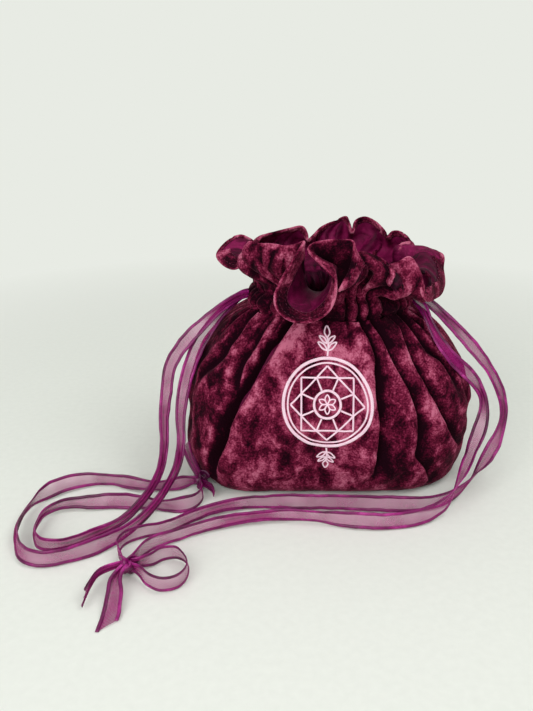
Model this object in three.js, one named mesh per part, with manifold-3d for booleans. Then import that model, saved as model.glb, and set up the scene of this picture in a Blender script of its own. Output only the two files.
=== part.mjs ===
import * as THREE from "three";
import Module from "manifold-3d";

// Drawstring dice bag: a lined velvet pouch that two ribbons gather shut.
// Millimetres, +Z up, +X to the right, front at -Y, origin at the bottom centre of the bag.

// Driving dimensions
const BAG_WIDTH = 176;
const BAG_DEPTH = 125;
const CINCH_HEIGHT = 106;
const NECK_WIDTH = 98;
const NECK_DEPTH = 76;
const NECK_WALL = 13;
const CHANNEL_HEIGHT = 12;
const CHANNEL_SIDE_OPENING = 20;
const FRILL_HEIGHT = 33;
const FRILL_REACH = 69;
const VELVET_THICKNESS = 2;
const LINING_THICKNESS = 1;
const RIBBON_WIDTH = 10;
const RIBBON_THICKNESS = 0.8;
const KNOT_SIZE = 11;
const SEAM_GAP = 0.3;
const FRILL_LAYER_GAP = 1;
const STITCH_GAP = 0.45;
const THREAD_WIDTH = 1.4;
const THREAD_HEIGHT = 0.6;
const MOTIF_CENTRE_X = -4.5;
const MOTIF_SPACING = 1.5;

// Counts
const PANEL_COLUMNS = 54;
const CHANNEL_COLUMNS = 20;
const FRILL_COLUMNS = 46;
const FRILL_ROWS = 4;
const STEPS_PER_POINT = 2;
const RING_STROKES = 40;
const STAR_SQUARES = 2;
const LEAF_PAIRS = 2;

// The body's rings from the bottom up. Height is a share of the cinch height, width and depth are
// shares of the bag's own, and squareness runs from an ellipse at 2 to a rounded rectangle.
const BODY_RING_SHARES = [
  { height: 0.0, width: 0.87, depth: 0.83, squareness: 3.8 },
  { height: 0.08, width: 0.925, depth: 0.91, squareness: 3.5 },
  { height: 0.24, width: 0.98, depth: 0.98, squareness: 3.0 },
  { height: 0.46, width: 1.0, depth: 1.0, squareness: 2.7 },
  { height: 0.65, width: 0.95, depth: 0.94, squareness: 2.4 },
  { height: 0.81, width: 0.84, depth: 0.83, squareness: 2.2 },
  { height: 0.92, width: 0.71, depth: 0.73, squareness: 2.1 },
];

// The body's main folds. A line runs up a fold, its heights as shares of the cinch height and its turns
// in degrees from +X. Depth, width and the two shoulders are shares of the bag's depth.
const BODY_FOLD_SHARES = [
  {
    line: [[0.08, 212.5], [0.26, 217.3], [0.42, 220.4], [0.6, 224.5], [0.9, 233]],
    depth: 0.05, width: 0.038, before: 0, after: 0.03,
  },
  {
    line: [[0.19, 292.7], [0.49, 292.2], [0.75, 292.4], [0.9, 293]],
    depth: 0.032, width: 0.032, before: 0.018, after: 0,
  },
  {
    line: [[0.09, 320.5], [0.3, 310.3], [0.52, 310.3], [0.72, 306.3], [0.9, 302.5]],
    depth: 0.034, width: 0.032, before: 0.014, after: 0,
  },
  {
    line: [[0.26, 333.5], [0.45, 323.3], [0.68, 317], [0.87, 316.6]],
    depth: 0.036, width: 0.032, before: 0.012, after: 0,
  },
  {
    line: [[0.68, 334], [0.8, 331], [0.9, 329.1]],
    depth: 0.036, width: 0.032, before: 0, after: 0,
  },
  {
    line: [[0.1, 32], [0.38, 36], [0.71, 40], [0.92, 42]],
    depth: 0.038, width: 0.034, before: 0.012, after: 0.012,
  },
  {
    line: [[0.3, 53], [0.57, 57], [0.9, 60]],
    depth: 0.028, width: 0.032, before: 0.008, after: 0.008,
  },
  {
    line: [[0.1, 81], [0.33, 78], [0.66, 76], [0.92, 77]],
    depth: 0.044, width: 0.034, before: 0.016, after: 0.008,
  },
  {
    line: [[0.1, 113], [0.42, 110], [0.75, 107], [0.92, 105]],
    depth: 0.038, width: 0.034, before: 0.008, after: 0.016,
  },
  {
    line: [[0.33, 131], [0.61, 127], [0.9, 123]],
    depth: 0.028, width: 0.032, before: 0.008, after: 0.008,
  },
  {
    line: [[0.1, 152], [0.38, 146], [0.71, 142], [0.92, 140]],
    depth: 0.038, width: 0.034, before: 0.012, after: 0.012,
  },
];
const FOLD_FADE_SHARE = 0.05;
const SHOULDER_PLACE_SHARE = 1.7;
const SHOULDER_WIDTH_SHARE = 1.3;

// The frill's folds round the mouth: turn in degrees from +X, reach as a share of the frill's reach,
// and rise, the rim's height as a share of the frill's height.
const FRILL_FOLD_SHARES = [
  { turn: 6, reach: 0.99, rise: 0.42 },
  { turn: 32, reach: 0.84, rise: 0.66 },
  { turn: 55, reach: 0.74, rise: 0.92 },
  { turn: 82, reach: 0.66, rise: 1.0 },
  { turn: 116, reach: 0.67, rise: 0.9 },
  { turn: 150, reach: 0.8, rise: 0.86 },
  { turn: 183, reach: 0.99, rise: 0.54 },
  { turn: 208, reach: 0.8, rise: 0.8 },
  { turn: 229, reach: 0.74, rise: 0.95 },
  { turn: 250, reach: 0.94, rise: 0.1 },
  { turn: 274, reach: 0.72, rise: 1.0 },
  { turn: 296, reach: 0.74, rise: 0.66 },
  { turn: 319, reach: 0.78, rise: 0.42 },
  { turn: 343, reach: 0.92, rise: 0.08 },
];
const FRILL_FOOT_INSET_SHARE = 0.25;
const VALLEY_OUT_SHARE = 1.05;
const VALLEY_RISE_SHARE = 0.84;
const CROWN_OUT_SHARE = 0.3;
const CROWN_RISE_SHARE = 0.8;
const KNOT_SHAPE_SHARES = [1, 0.95, 0.9];

// The motif's height on the front panel and its own sizes, as shares of the cinch height.
const MOTIF_CENTRE_SHARE = 0.594;
const MOTIF_RADIUS_SHARE = 0.235;
const SPRIG_HEIGHT_SHARE = 0.123;
const STAR_RADIUS_SHARE = 0.9;
const HEART_RADIUS_SHARE = 0.3;
const LEAF_SHARE = 0.34;

// The ribbons' strands as they lie. Each point is a place and the direction of the ribbon's width.
const LEFT_OUTER_STRAND = [
  [-35.0, -2.2, 111.5, 0, 0, 1],
  [-45.0, -2.2, 111.5, 0, 0, 1],
  [-54.0, -4.5, 111.2, -0.2, 0.1, 1],
  [-67.0, -10.0, 105.0, -0.6, 0.3, 0.7],
  [-79.5, -14.5, 95.0, -0.7, 0.3, 0.6],
  [-90.0, -18.5, 84.0, -0.85, 0.2, 0.4],
  [-98.0, -20.5, 71.0, -0.95, 0.1, 0.2],
  [-100.5, -24.5, 56.0, -1, 0.1, 0.05],
  [-102.0, -30.0, 40.0, -1, 0.1, 0],
  [-101.5, -38.5, 26.5, -0.95, 0.1, 0.2],
  [-102.0, -51.0, 18.0, -0.8, 0.2, 0.5],
  [-105.0, -65.0, 13.5, -0.6, 0.3, 0.7],
  [-111.0, -78.0, 9.5, -0.4, 0.3, 0.9],
  [-120.0, -90.0, 6.2, -0.3, 0.3, 0.95],
  [-133.0, -101.5, 5.6, -0.2, 0.3, 1],
  [-147.0, -110.0, 5.6, 0, 0.3, 1],
  [-158.0, -110.0, 5.6, 0.1, 0.2, 1],
  [-164.5, -102.0, 5.6, 0.2, 0, 1],
  [-167.0, -90.0, 5.6, 0.2, 0, 1],
  [-165.0, -78.5, 5.6, 0.1, 0.1, 1],
  [-157.0, -71.5, 5.6, 0, 0.3, 1],
  [-142.0, -69.5, 5.6, 0, 0.3, 1],
  [-127.0, -67.5, 5.2, 0, 0.5, 0.9],
  [-113.0, -65.5, 2.9, 0, 1, 0.35],
  [-101.0, -66.5, 1.6, 0, 1, 0.1],
  [-90.0, -69.5, 3.6, 0, 0.7, 0.6],
  [-80.5, -68.0, 5.6, 0, 0.1, 1],
  [-77.0, -60.0, 5.6, 0, 0, 1],
  [-79.3, -50.1, 5.6, 0, 0, 1],
];
const LEFT_INNER_STRAND = [
  [-35.0, 2.2, 111.5, 0, 0, 1],
  [-45.0, 2.2, 111.5, 0, 0, 1],
  [-53.0, 0.5, 110.8, -0.2, 0.1, 1],
  [-62.5, -4.0, 104.5, -0.6, 0.3, 0.7],
  [-73.0, -9.0, 94.0, -0.7, 0.3, 0.6],
  [-81.0, -14.5, 82.0, -0.85, 0.2, 0.4],
  [-86.2, -23.0, 70.0, -0.95, 0.1, 0.2],
  [-89.5, -29.0, 57.5, -1, 0.1, 0],
  [-91.3, -36.0, 43.0, -1, 0, 0],
  [-91.0, -43.0, 29.0, -0.95, 0.1, 0.2],
  [-92.0, -54.5, 20.0, -0.8, 0.2, 0.5],
  [-96.0, -69.0, 15.5, -0.6, 0.3, 0.7],
  [-103.0, -83.5, 10.5, -0.4, 0.3, 0.9],
  [-113.0, -97.0, 6.6, -0.3, 0.3, 0.95],
  [-126.0, -109.5, 5.6, -0.2, 0.3, 1],
  [-141.0, -119.5, 5.6, 0, 0.3, 1],
  [-154.0, -123.0, 5.6, 0.1, 0.2, 1],
  [-166.0, -117.5, 5.6, 0.2, 0, 1],
  [-174.0, -103.0, 5.6, 0.2, 0, 1],
  [-177.0, -84.0, 5.6, 0.2, 0, 1],
  [-174.5, -66.5, 5.6, 0.2, 0.1, 1],
  [-165.0, -52.5, 5.6, 0.1, 0.3, 1],
  [-150.0, -44.5, 5.6, 0, 0.3, 1],
  [-132.0, -44.5, 5.4, 0, 0.4, 1],
  [-117.0, -46.5, 3.4, 0, 0.9, 0.5],
  [-105.0, -46.0, 1.8, 0, 1, 0.1],
  [-94.0, -45.0, 2.8, 0, 1, 0.4],
  [-85.4, -44.6, 5.6, 0, 0, 1],
];
const RIGHT_OUTER_STRAND = [
  [35.0, 2.2, 111.5, 0, 0, 1],
  [45.0, 2.2, 111.5, 0, 0, 1],
  [53.0, 0.0, 111.0, 0.2, 0.1, 1],
  [63.0, -5.0, 105.0, 0.6, 0.3, 0.7],
  [75.5, -11.0, 94.5, 0.7, 0.3, 0.6],
  [86.5, -16.5, 83.0, 0.8, 0.2, 0.5],
  [96.0, -21.5, 71.0, 0.9, 0.2, 0.3],
  [103.5, -25.5, 58.0, 1, 0.2, 0.1],
  [106.5, -29.0, 44.5, 1, 0.2, 0],
  [103.5, -34.5, 31.5, 1, 0.1, 0.2],
  [96.5, -41.5, 20.5, 0.9, 0.1, 0.4],
  [88.0, -49.5, 12.5, 0.7, 0.2, 0.7],
  [78.0, -58.5, 7.6, 0.4, 0.2, 0.9],
  [65.0, -67.5, 6.0, 0.1, 0.2, 1],
  [50.0, -71.5, 5.6, 0, 0.2, 1],
  [33.0, -71.5, 5.6, 0, 0.2, 1],
  [12.0, -70.5, 5.6, 0, 0.2, 1],
  [-10.0, -69.5, 5.6, 0, 0.2, 1],
  [-33.0, -69.0, 5.6, 0, 0.2, 1],
  [-53.0, -71.0, 5.6, 0, 0.2, 1],
  [-69.0, -76.5, 5.6, 0, 0.2, 1],
  [-83.0, -86.5, 5.6, 0, 0.1, 1],
  [-94.0, -94.5, 5.6, 0, 0.1, 1],
  [-105.5, -98.5, 5.6, 0, 0, 1],
  [-114.5, -104.5, 5.6, 0, 0, 1],
  [-116.5, -113.0, 5.6, 0, 0, 1],
  [-112.0, -122.2, 5.8, 0, 0, 1],
];
const RIGHT_INNER_STRAND = [
  [35.0, -2.2, 111.5, 0, 0, 1],
  [45.0, -2.2, 111.5, 0, 0, 1],
  [50.5, -6.5, 111.3, 0.2, 0.2, 1],
  [54.5, -14.5, 107.5, 0.5, 0.5, 0.6],
  [57.5, -23.0, 100.0, 0.65, 0.7, 0.1],
  [64.0, -30.5, 89.5, 0.65, 0.6, 0.3],
  [71.5, -34.0, 80.5, 0.7, 0.45, 0.5],
  [80.0, -32.5, 72.5, 0.85, 0.3, 0.3],
  [87.5, -30.0, 64.0, 0.95, 0.2, 0.1],
  [92.5, -30.0, 54.5, 1, 0.1, 0],
  [93.0, -33.5, 45.5, 1, 0.1, 0.1],
  [90.0, -39.5, 37.5, 0.9, 0.1, 0.3],
  [85.0, -47.0, 30.0, 0.85, 0.1, 0.5],
  [79.5, -56.5, 25.0, 0.75, 0.1, 0.6],
  [73.0, -67.0, 18.0, 0.5, 0.1, 0.8],
  [64.0, -77.0, 10.5, 0.2, 0.1, 1],
  [52.0, -83.0, 6.2, 0, 0.2, 1],
  [38.0, -88.0, 5.6, 0, 0.2, 1],
  [22.0, -89.0, 5.6, 0, 0.2, 1],
  [4.0, -87.0, 5.6, 0, 0.2, 1],
  [-14.0, -84.0, 5.6, 0, 0.2, 1],
  [-34.0, -83.0, 5.6, 0, 0.2, 1],
  [-53.0, -86.0, 5.6, 0, 0.2, 1],
  [-70.0, -92.5, 5.6, 0, 0.2, 1],
  [-85.0, -100.5, 5.6, 0, 0.1, 1],
  [-96.5, -107.0, 5.6, 0, 0, 1],
  [-102.5, -113.5, 5.6, 0, 0, 1],
  [-106.3, -122.0, 5.8, 0, 0, 1],
];
const RIGHT_RING_STRAND = [
  [-103.9, -129.8, 5.8, 0, 0, 1],
  [-98.0, -137.5, 5.8, 0.1, -0.1, 1],
  [-90.5, -142.0, 5.8, 0.1, -0.1, 1],
  [-82.5, -139.5, 5.8, 0.1, 0, 1],
  [-79.0, -131.5, 5.8, 0.1, 0, 1],
  [-80.5, -122.5, 5.8, 0, 0, 1],
  [-86.0, -117.0, 5.8, 0, 0, 1],
  [-92.5, -118.0, 5.8, 0, 0, 1],
  [-97.5, -123.2, 5.8, 0, 0, 1],
  [-103.2, -126.0, 5.8, 0, 0, 1],
];
const RIGHT_WIDE_TAIL = [
  [-111.2, -132.2, 6.4, 1, 0, 0],
  [-112.5, -141.0, 7.0, 1, 0, 0],
  [-111.5, -149.0, 5.0, 1, 0, 0],
  [-111.5, -158.0, 1.6, 1, -0.1, 0],
  [-111.8, -165.0, 0.8, 1, -0.2, 0],
];
const RIGHT_THIN_TAIL = [
  [-114.5, -129.1, 5.8, 0, 0, 1],
  [-121.0, -133.5, 5.6, 0.2, 0, 1],
  [-124.0, -143.0, 5.6, 0.1, 0, 1],
  [-125.0, -151.5, 5.6, 0, 0, 1],
];
const LEFT_LONG_TAIL = [
  [-81.5, -40.4, 8.6, 1, 0.3, 0],
  [-84.4, -36.8, 12.6, 1, 0.3, 0],
  [-87.0, -33.0, 17.8, 1, 0.2, 0],
  [-88.5, -30.5, 23.5, 1, 0.2, 0],
];
const LEFT_SHORT_TAIL = [
  [-75.7, -48.8, 5.6, 0, 0, 1],
  [-71.2, -53.5, 5.6, 0, 0, 1],
  [-69.5, -60.0, 5.6, 0, 0, 1],
];
const LEFT_KNOT_PLACE = [-79.5, -44.5, 5.6];
const RIGHT_KNOT_PLACE = [-109.0, -127.0, 6.0];

// Colours and finish
const VELVET = new THREE.MeshStandardMaterial({ color: "#6b2440", roughness: 0.85, metalness: 0 });
const LINING = new THREE.MeshStandardMaterial({ color: "#5a1238", roughness: 0.5, metalness: 0 });
const RIBBON = new THREE.MeshStandardMaterial({ color: "#8a1a6e", roughness: 0.4, metalness: 0 });
const THREAD = new THREE.MeshStandardMaterial({ color: "#f2c4dc", roughness: 0.6, metalness: 0 });

const wasm = await Module();
wasm.setup();

// Heights and insets that follow from the driving dimensions
const panelFloor = VELVET_THICKNESS + SEAM_GAP;
const channelFloor = CINCH_HEIGHT + SEAM_GAP;
const frillFloor = channelFloor + CHANNEL_HEIGHT + SEAM_GAP;
const liningInset = VELVET_THICKNESS + SEAM_GAP;
const tunnelHalfWidth = RIBBON_THICKNESS + 2 * SEAM_GAP;
const motifCentreHeight = CINCH_HEIGHT * MOTIF_CENTRE_SHARE;
const motifRadius = CINCH_HEIGHT * MOTIF_RADIUS_SHARE;
const sprigHeight = CINCH_HEIGHT * SPRIG_HEIGHT_SHARE;

const bag = new THREE.Group();

function addMesh(name, geometry, material) {
  geometry.computeVertexNormals();
  const mesh = new THREE.Mesh(geometry, material);
  mesh.name = name;
  bag.add(mesh);
  return mesh;
}

function mix(start, end, share) {
  return start + (end - start) * share;
}

// Collects points and triangles, with quads given corner by corner as seen from outside.
class Shell {
  constructor() {
    this.places = [];
    this.index = [];
  }

  point(place) {
    this.places.push(place.x, place.y, place.z);
    return this.places.length / 3 - 1;
  }

  quad(a, b, c, d) {
    this.index.push(a, b, c, a, c, d);
  }

  geometry() {
    const geometry = new THREE.BufferGeometry();
    geometry.setAttribute("position", new THREE.Float32BufferAttribute(this.places, 3));
    geometry.setIndex(this.index);
    return geometry;
  }
}

// A closed solid between an outer and an inner sheet, each a list of rows of points.
function sheetSolid(outer, inner) {
  const shell = new Shell();
  const out = outer.map((row) => row.map((place) => shell.point(place)));
  const back = inner.map((row) => row.map((place) => shell.point(place)));
  const top = out.length - 1;
  const end = out[0].length - 1;
  for (let row = 0; row < top; row++) {
    for (let column = 0; column < end; column++) {
      const up = row + 1;
      const next = column + 1;
      shell.quad(out[row][column], out[row][next], out[up][next], out[up][column]);
      shell.quad(back[row][column], back[up][column], back[up][next], back[row][next]);
    }
    shell.quad(back[row][0], out[row][0], out[row + 1][0], back[row + 1][0]);
    shell.quad(out[row][end], back[row][end], back[row + 1][end], out[row + 1][end]);
  }
  for (let column = 0; column < end; column++) {
    const next = column + 1;
    shell.quad(back[0][column], back[0][next], out[0][next], out[0][column]);
    shell.quad(out[top][column], out[top][next], back[top][next], back[top][column]);
  }
  return shell.geometry();
}

// A closed solid swept through loops of corners, with flat ends. A second list makes a tunnel in it.
function sweptSolid(loops, tunnelLoops = null) {
  const shell = new Shell();
  const skin = loops.map((loop) => loop.map((place) => shell.point(place)));
  const corners = skin[0].length;
  const end = skin.length - 1;
  const around = [...Array(corners).keys()].map((corner) => [corner, (corner + 1) % corners]);
  for (let step = 0; step < end; step++) {
    for (const [corner, next] of around) {
      shell.quad(skin[step][corner], skin[step][next], skin[step + 1][next], skin[step + 1][corner]);
    }
  }
  if (tunnelLoops === null) {
    const [first, last] = [skin[0], skin[end]];
    shell.quad(first[3], first[2], first[1], first[0]);
    shell.quad(last[0], last[1], last[2], last[3]);
    return shell.geometry();
  }
  const bore = tunnelLoops.map((loop) => loop.map((place) => shell.point(place)));
  for (let step = 0; step < end; step++) {
    for (const [corner, next] of around) {
      shell.quad(bore[step][next], bore[step][corner], bore[step + 1][corner], bore[step + 1][next]);
    }
  }
  for (const [corner, next] of around) {
    shell.quad(skin[0][next], skin[0][corner], bore[0][corner], bore[0][next]);
    shell.quad(skin[end][corner], skin[end][next], bore[end][next], bore[end][corner]);
  }
  return shell.geometry();
}

// A closed ring swept through loops of corners, from the last loop on to the first.
function sweptRing(loops) {
  const shell = new Shell();
  const skin = loops.map((loop) => loop.map((place) => shell.point(place)));
  skin.forEach((here, step) => {
    const after = skin[(step + 1) % skin.length];
    here.forEach((place, corner) => {
      const next = (corner + 1) % here.length;
      shell.quad(place, here[next], after[next], after[corner]);
    });
  });
  return shell.geometry();
}

// A point of a ring between an ellipse and a rounded rectangle, at a turn in radians.
function ringPoint(halfWidth, halfDepth, squareness, turn, height) {
  const across = Math.cos(turn);
  const along = Math.sin(turn);
  const power = 2 / squareness;
  const x = halfWidth * Math.sign(across) * Math.abs(across) ** power;
  const y = halfDepth * Math.sign(along) * Math.abs(along) ** power;
  return new THREE.Vector3(x, y, height);
}

// The turns of one half of the bag, from seam to seam.
function halfTurns(isFront, columns) {
  const start = isFront ? Math.PI : 0;
  return [...Array(columns + 1).keys()].map((column) => start + (Math.PI * column) / columns);
}

// Keeps a point half a seam gap from the plane of the side seams.
function clearOfSeam(point, isFront) {
  const side = isFront ? -1 : 1;
  point.y = side * Math.max(point.y * side, SEAM_GAP / 2);
  return point;
}

// Body panels and base

// The turn of a fold's line at a height share, in radians.
function foldTurn(line, share) {
  const after = line.findIndex(([height]) => height > share);
  if (after === 0) return THREE.MathUtils.degToRad(line[0][1]);
  if (after < 0) return THREE.MathUtils.degToRad(line[line.length - 1][1]);
  const [[low, start], [high, end]] = [line[after - 1], line[after]];
  return THREE.MathUtils.degToRad(mix(start, end, (share - low) / (high - low)));
}

// How far the folds move a place on the body outwards from the bag's middle line.
function foldPush(place) {
  const share = place.height / CINCH_HEIGHT;
  return BODY_FOLD_SHARES.reduce((push, fold) => {
    const [low, high] = [fold.line[0][0], fold.line[fold.line.length - 1][0]];
    const reach = Math.min(share - low, high - share) / FOLD_FADE_SHARE + 1;
    const strength = Math.max(0, Math.min(reach, 1));
    const width = fold.width * BAG_DEPTH;
    const away = ((place.turn - foldTurn(fold.line, share)) * place.radius) / width;
    const groove = -fold.depth * Math.exp(-(away ** 2));
    const before = fold.before * Math.exp(-(((away + SHOULDER_PLACE_SHARE) / SHOULDER_WIDTH_SHARE) ** 2));
    const after = fold.after * Math.exp(-(((away - SHOULDER_PLACE_SHARE) / SHOULDER_WIDTH_SHARE) ** 2));
    return push + strength * (groove + before + after) * BAG_DEPTH;
  }, 0);
}

// Moves a point of the body outwards as the folds move the outer face at the same turn and height.
function folded(point, outer) {
  const fullTurn = 2 * Math.PI;
  const radius = Math.hypot(outer.x, outer.y);
  const turn = (Math.atan2(outer.y, outer.x) + fullTurn) % fullTurn;
  const push = foldPush({ radius, turn, height: outer.z });
  point.x += (push * outer.x) / radius;
  point.y += (push * outer.y) / radius;
  return point;
}

function bodyRows(isFront, inset) {
  const rings = BODY_RING_SHARES.map((ring) => ({
    halfWidth: (BAG_WIDTH * ring.width) / 2,
    halfDepth: (BAG_DEPTH * ring.depth) / 2,
    squareness: ring.squareness,
    height: Math.max(CINCH_HEIGHT * ring.height, panelFloor),
  }));
  rings.push({
    halfWidth: NECK_WIDTH / 2 + SEAM_GAP,
    halfDepth: NECK_DEPTH / 2 + SEAM_GAP,
    squareness: 2,
    height: CINCH_HEIGHT,
  });
  return rings.map((ring) =>
    halfTurns(isFront, PANEL_COLUMNS).map((turn) => {
      const { halfWidth, halfDepth, squareness, height } = ring;
      const outer = ringPoint(halfWidth, halfDepth, squareness, turn, height);
      const point = ringPoint(halfWidth - inset, halfDepth - inset, squareness, turn, height);
      return clearOfSeam(folded(point, outer), isFront);
    })
  );
}

function panel(name, isFront, inset, thickness, material) {
  const solid = sheetSolid(bodyRows(isFront, inset), bodyRows(isFront, inset + thickness));
  return addMesh(name, solid, material);
}

function basePlate(name, inset, floor, thickness, material) {
  const foot = BODY_RING_SHARES[0];
  const halfWidth = (BAG_WIDTH * foot.width) / 2 - inset;
  const halfDepth = (BAG_DEPTH * foot.depth) / 2 - inset;
  const steps = PANEL_COLUMNS * 2;
  const corners = [...Array(steps).keys()].map((step) => {
    const place = ringPoint(halfWidth, halfDepth, foot.squareness, (2 * Math.PI * step) / steps, 0);
    return new THREE.Vector2(place.x, place.y);
  });
  const outline = new THREE.Shape(corners);
  const plate = new THREE.ExtrudeGeometry(outline, { depth: thickness, bevelEnabled: false });
  const mesh = addMesh(name, plate, material);
  mesh.position.z = floor;
  return mesh;
}

// The gathered channels and the ribbon inside them

// Half a ring with flat ends, from a section given as inset and height.
function halfRingLoops(isFront, section) {
  const start = isFront ? Math.PI : 0;
  return [...Array(CHANNEL_COLUMNS + 1).keys()].map((column) =>
    section.map(([inset, height]) => {
      const halfWidth = NECK_WIDTH / 2 - inset;
      const halfDepth = NECK_DEPTH / 2 - inset;
      const end = Math.asin(CHANNEL_SIDE_OPENING / 2 / halfDepth);
      const turn = start + mix(end, Math.PI - end, column / CHANNEL_COLUMNS);
      return ringPoint(halfWidth, halfDepth, 2, turn, height);
    })
  );
}

// The four corners of a section, as seen along the sweep.
function section(nearInset, farInset, low, high) {
  return [
    [nearInset, high],
    [nearInset, low],
    [farInset, low],
    [farInset, high],
  ];
}

const ribbonLow = channelFloor + (CHANNEL_HEIGHT - RIBBON_WIDTH) / 2;

function channel(name, isFront) {
  const middle = NECK_WALL / 2;
  const skin = section(0, NECK_WALL, channelFloor, channelFloor + CHANNEL_HEIGHT);
  const low = ribbonLow - SEAM_GAP;
  const high = ribbonLow + RIBBON_WIDTH + SEAM_GAP;
  const bore = section(middle - tunnelHalfWidth, middle + tunnelHalfWidth, low, high);
  const solid = sweptSolid(halfRingLoops(isFront, skin), halfRingLoops(isFront, bore));
  return addMesh(name, solid, VELVET);
}

function ribbonInChannel(name, isFront, isOuter) {
  const middle = NECK_WALL / 2;
  const near = isOuter ? middle - SEAM_GAP / 2 - RIBBON_THICKNESS : middle + SEAM_GAP / 2;
  const band = section(near, near + RIBBON_THICKNESS, ribbonLow, ribbonLow + RIBBON_WIDTH);
  return addMesh(name, sweptSolid(halfRingLoops(isFront, band)), RIBBON);
}

// The frill above the channels

function neckRadius(turn, inset) {
  const across = Math.cos(turn) / (NECK_WIDTH / 2 - inset);
  const along = Math.sin(turn) / (NECK_DEPTH / 2 - inset);
  return 1 / Math.hypot(across, along);
}

// The frill's rim at a turn: a smooth wave through the folds and the valleys half way between them.
function rimAt(turn) {
  const full = 360;
  const degrees = ((THREE.MathUtils.radToDeg(turn) % full) + full) % full;
  const folds = FRILL_FOLD_SHARES;
  let after = folds.findIndex((fold) => fold.turn > degrees);
  if (after < 0) after = folds.length;
  const left = folds[(after + folds.length - 1) % folds.length];
  const right = folds[after % folds.length];
  const leftTurn = after === 0 ? left.turn - full : left.turn;
  const rightTurn = after === folds.length ? right.turn + full : right.turn;
  const share = (degrees - leftTurn) / (rightTurn - leftTurn);
  const nearer = share < 0.5 ? left : right;
  const valley = (1 - Math.cos(2 * Math.PI * share)) / 2;
  const valleyRadius = neckRadius(turn, 0) * VALLEY_OUT_SHARE;
  return {
    radius: mix(nearer.reach * FRILL_REACH, valleyRadius, valley),
    height: mix(nearer.rise, VALLEY_RISE_SHARE, valley) * FRILL_HEIGHT,
  };
}

// The cloth's curve at a turn, in radius and height above the frill's floor.
function frillProfile(turn) {
  const foot = neckRadius(turn, NECK_WALL * FRILL_FOOT_INSET_SHARE);
  const rim = rimAt(turn);
  return new THREE.QuadraticBezierCurve(
    new THREE.Vector2(foot, 0),
    new THREE.Vector2(mix(foot, rim.radius, CROWN_OUT_SHARE), FRILL_HEIGHT * CROWN_RISE_SHARE),
    new THREE.Vector2(rim.radius, rim.height)
  );
}

// One face of the frill, a distance outwards from the middle of the cloth.
function frillRows(isFront, offset) {
  const turns = halfTurns(isFront, FRILL_COLUMNS);
  return [...Array(FRILL_ROWS + 1).keys()].map((row) =>
    turns.map((turn) => {
      const share = row / FRILL_ROWS;
      const profile = frillProfile(turn);
      const place = profile.getPoint(share);
      const along = row === 0 ? new THREE.Vector2(0, 1) : profile.getTangent(share);
      const radius = place.x + along.y * offset;
      const height = frillFloor + place.y - along.x * offset;
      const point = new THREE.Vector3(radius * Math.cos(turn), radius * Math.sin(turn), height);
      return clearOfSeam(point, isFront);
    })
  );
}

function frill(name, isFront, offset, thickness, material) {
  const solid = sheetSolid(frillRows(isFront, offset + thickness), frillRows(isFront, offset));
  return addMesh(name, solid, material);
}

// Ribbons

// The corners of a flat band along a route of places and width directions, open or closed on itself.
function bandLoops(places, widths, width, thickness, stepsPerPoint, isClosed = false) {
  const path = new THREE.CatmullRomCurve3(places, isClosed, "centripetal");
  const turning = new THREE.CatmullRomCurve3(widths, isClosed, "catmullrom");
  const steps = (isClosed ? places.length : places.length - 1) * stepsPerPoint;
  const loops = isClosed ? steps : steps + 1;
  return [...Array(loops).keys()].map((step) => {
    const share = step / steps;
    const place = path.getPoint(share);
    const along = path.getTangent(share);
    const across = turning.getPoint(share).clone();
    across.addScaledVector(along, -across.dot(along)).normalize();
    const facing = new THREE.Vector3().crossVectors(along, across);
    const corner = (side, face) =>
      place
        .clone()
        .addScaledVector(across, (side * width) / 2)
        .addScaledVector(facing, (face * thickness) / 2);
    return [corner(1, 1), corner(-1, 1), corner(-1, -1), corner(1, -1)];
  });
}

function ribbon(name, route) {
  const places = route.map(([x, y, z]) => new THREE.Vector3(x, y, z));
  const widths = route.map(([, , , x, y, z]) => new THREE.Vector3(x, y, z).normalize());
  const loops = bandLoops(places, widths, RIBBON_WIDTH, RIBBON_THICKNESS, STEPS_PER_POINT);
  return addMesh(name, sweptSolid(loops), RIBBON);
}

function knot(name, place) {
  const radius = KNOT_SIZE / 2;
  const lump = new THREE.IcosahedronGeometry(radius, 2);
  lump.deleteAttribute("normal");
  lump.deleteAttribute("uv");
  const mesh = addMesh(name, lump, RIBBON);
  mesh.scale.set(...KNOT_SHAPE_SHARES);
  mesh.position.set(...place);
  return mesh;
}

// Embroidery on the front panel

// The place on the front panel's outer face at x and z, and the way the face looks there.
function onFrontPanel(frontPanel, x, z) {
  const eye = new THREE.Vector3(x, -BAG_DEPTH, z);
  const caster = new THREE.Raycaster(eye, new THREE.Vector3(0, 1, 0));
  const hit = caster.intersectObject(frontPanel, false)[0];
  return { place: hit.point, facing: hit.face.normal.clone() };
}

// A stitched line on the panel through points given from the motif's centre, open or closed.
function stroke(frontPanel, points, isClosed = false) {
  const places = [];
  const widths = [];
  const count = points.length;
  points.forEach(([x, z], index) => {
    const before = points[isClosed ? (index + count - 1) % count : Math.max(index - 1, 0)];
    const after = points[isClosed ? (index + 1) % count : Math.min(index + 1, count - 1)];
    const hit = onFrontPanel(frontPanel, MOTIF_CENTRE_X + x, motifCentreHeight + z);
    const along = new THREE.Vector3(after[0] - before[0], 0, after[1] - before[1]);
    widths.push(new THREE.Vector3().crossVectors(along, hit.facing).normalize());
    places.push(hit.place.addScaledVector(hit.facing, STITCH_GAP + THREAD_HEIGHT / 2));
  });
  const loops = bandLoops(places, widths, THREAD_WIDTH, THREAD_HEIGHT, 1, isClosed);
  return solidOf(isClosed ? sweptRing(loops) : sweptSolid(loops));
}

function solidOf(geometry) {
  const vertProperties = geometry.getAttribute("position").array;
  const triVerts = new Uint32Array(geometry.getIndex().array);
  return new wasm.Manifold(new wasm.Mesh({ numProp: 3, vertProperties, triVerts }));
}

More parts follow.
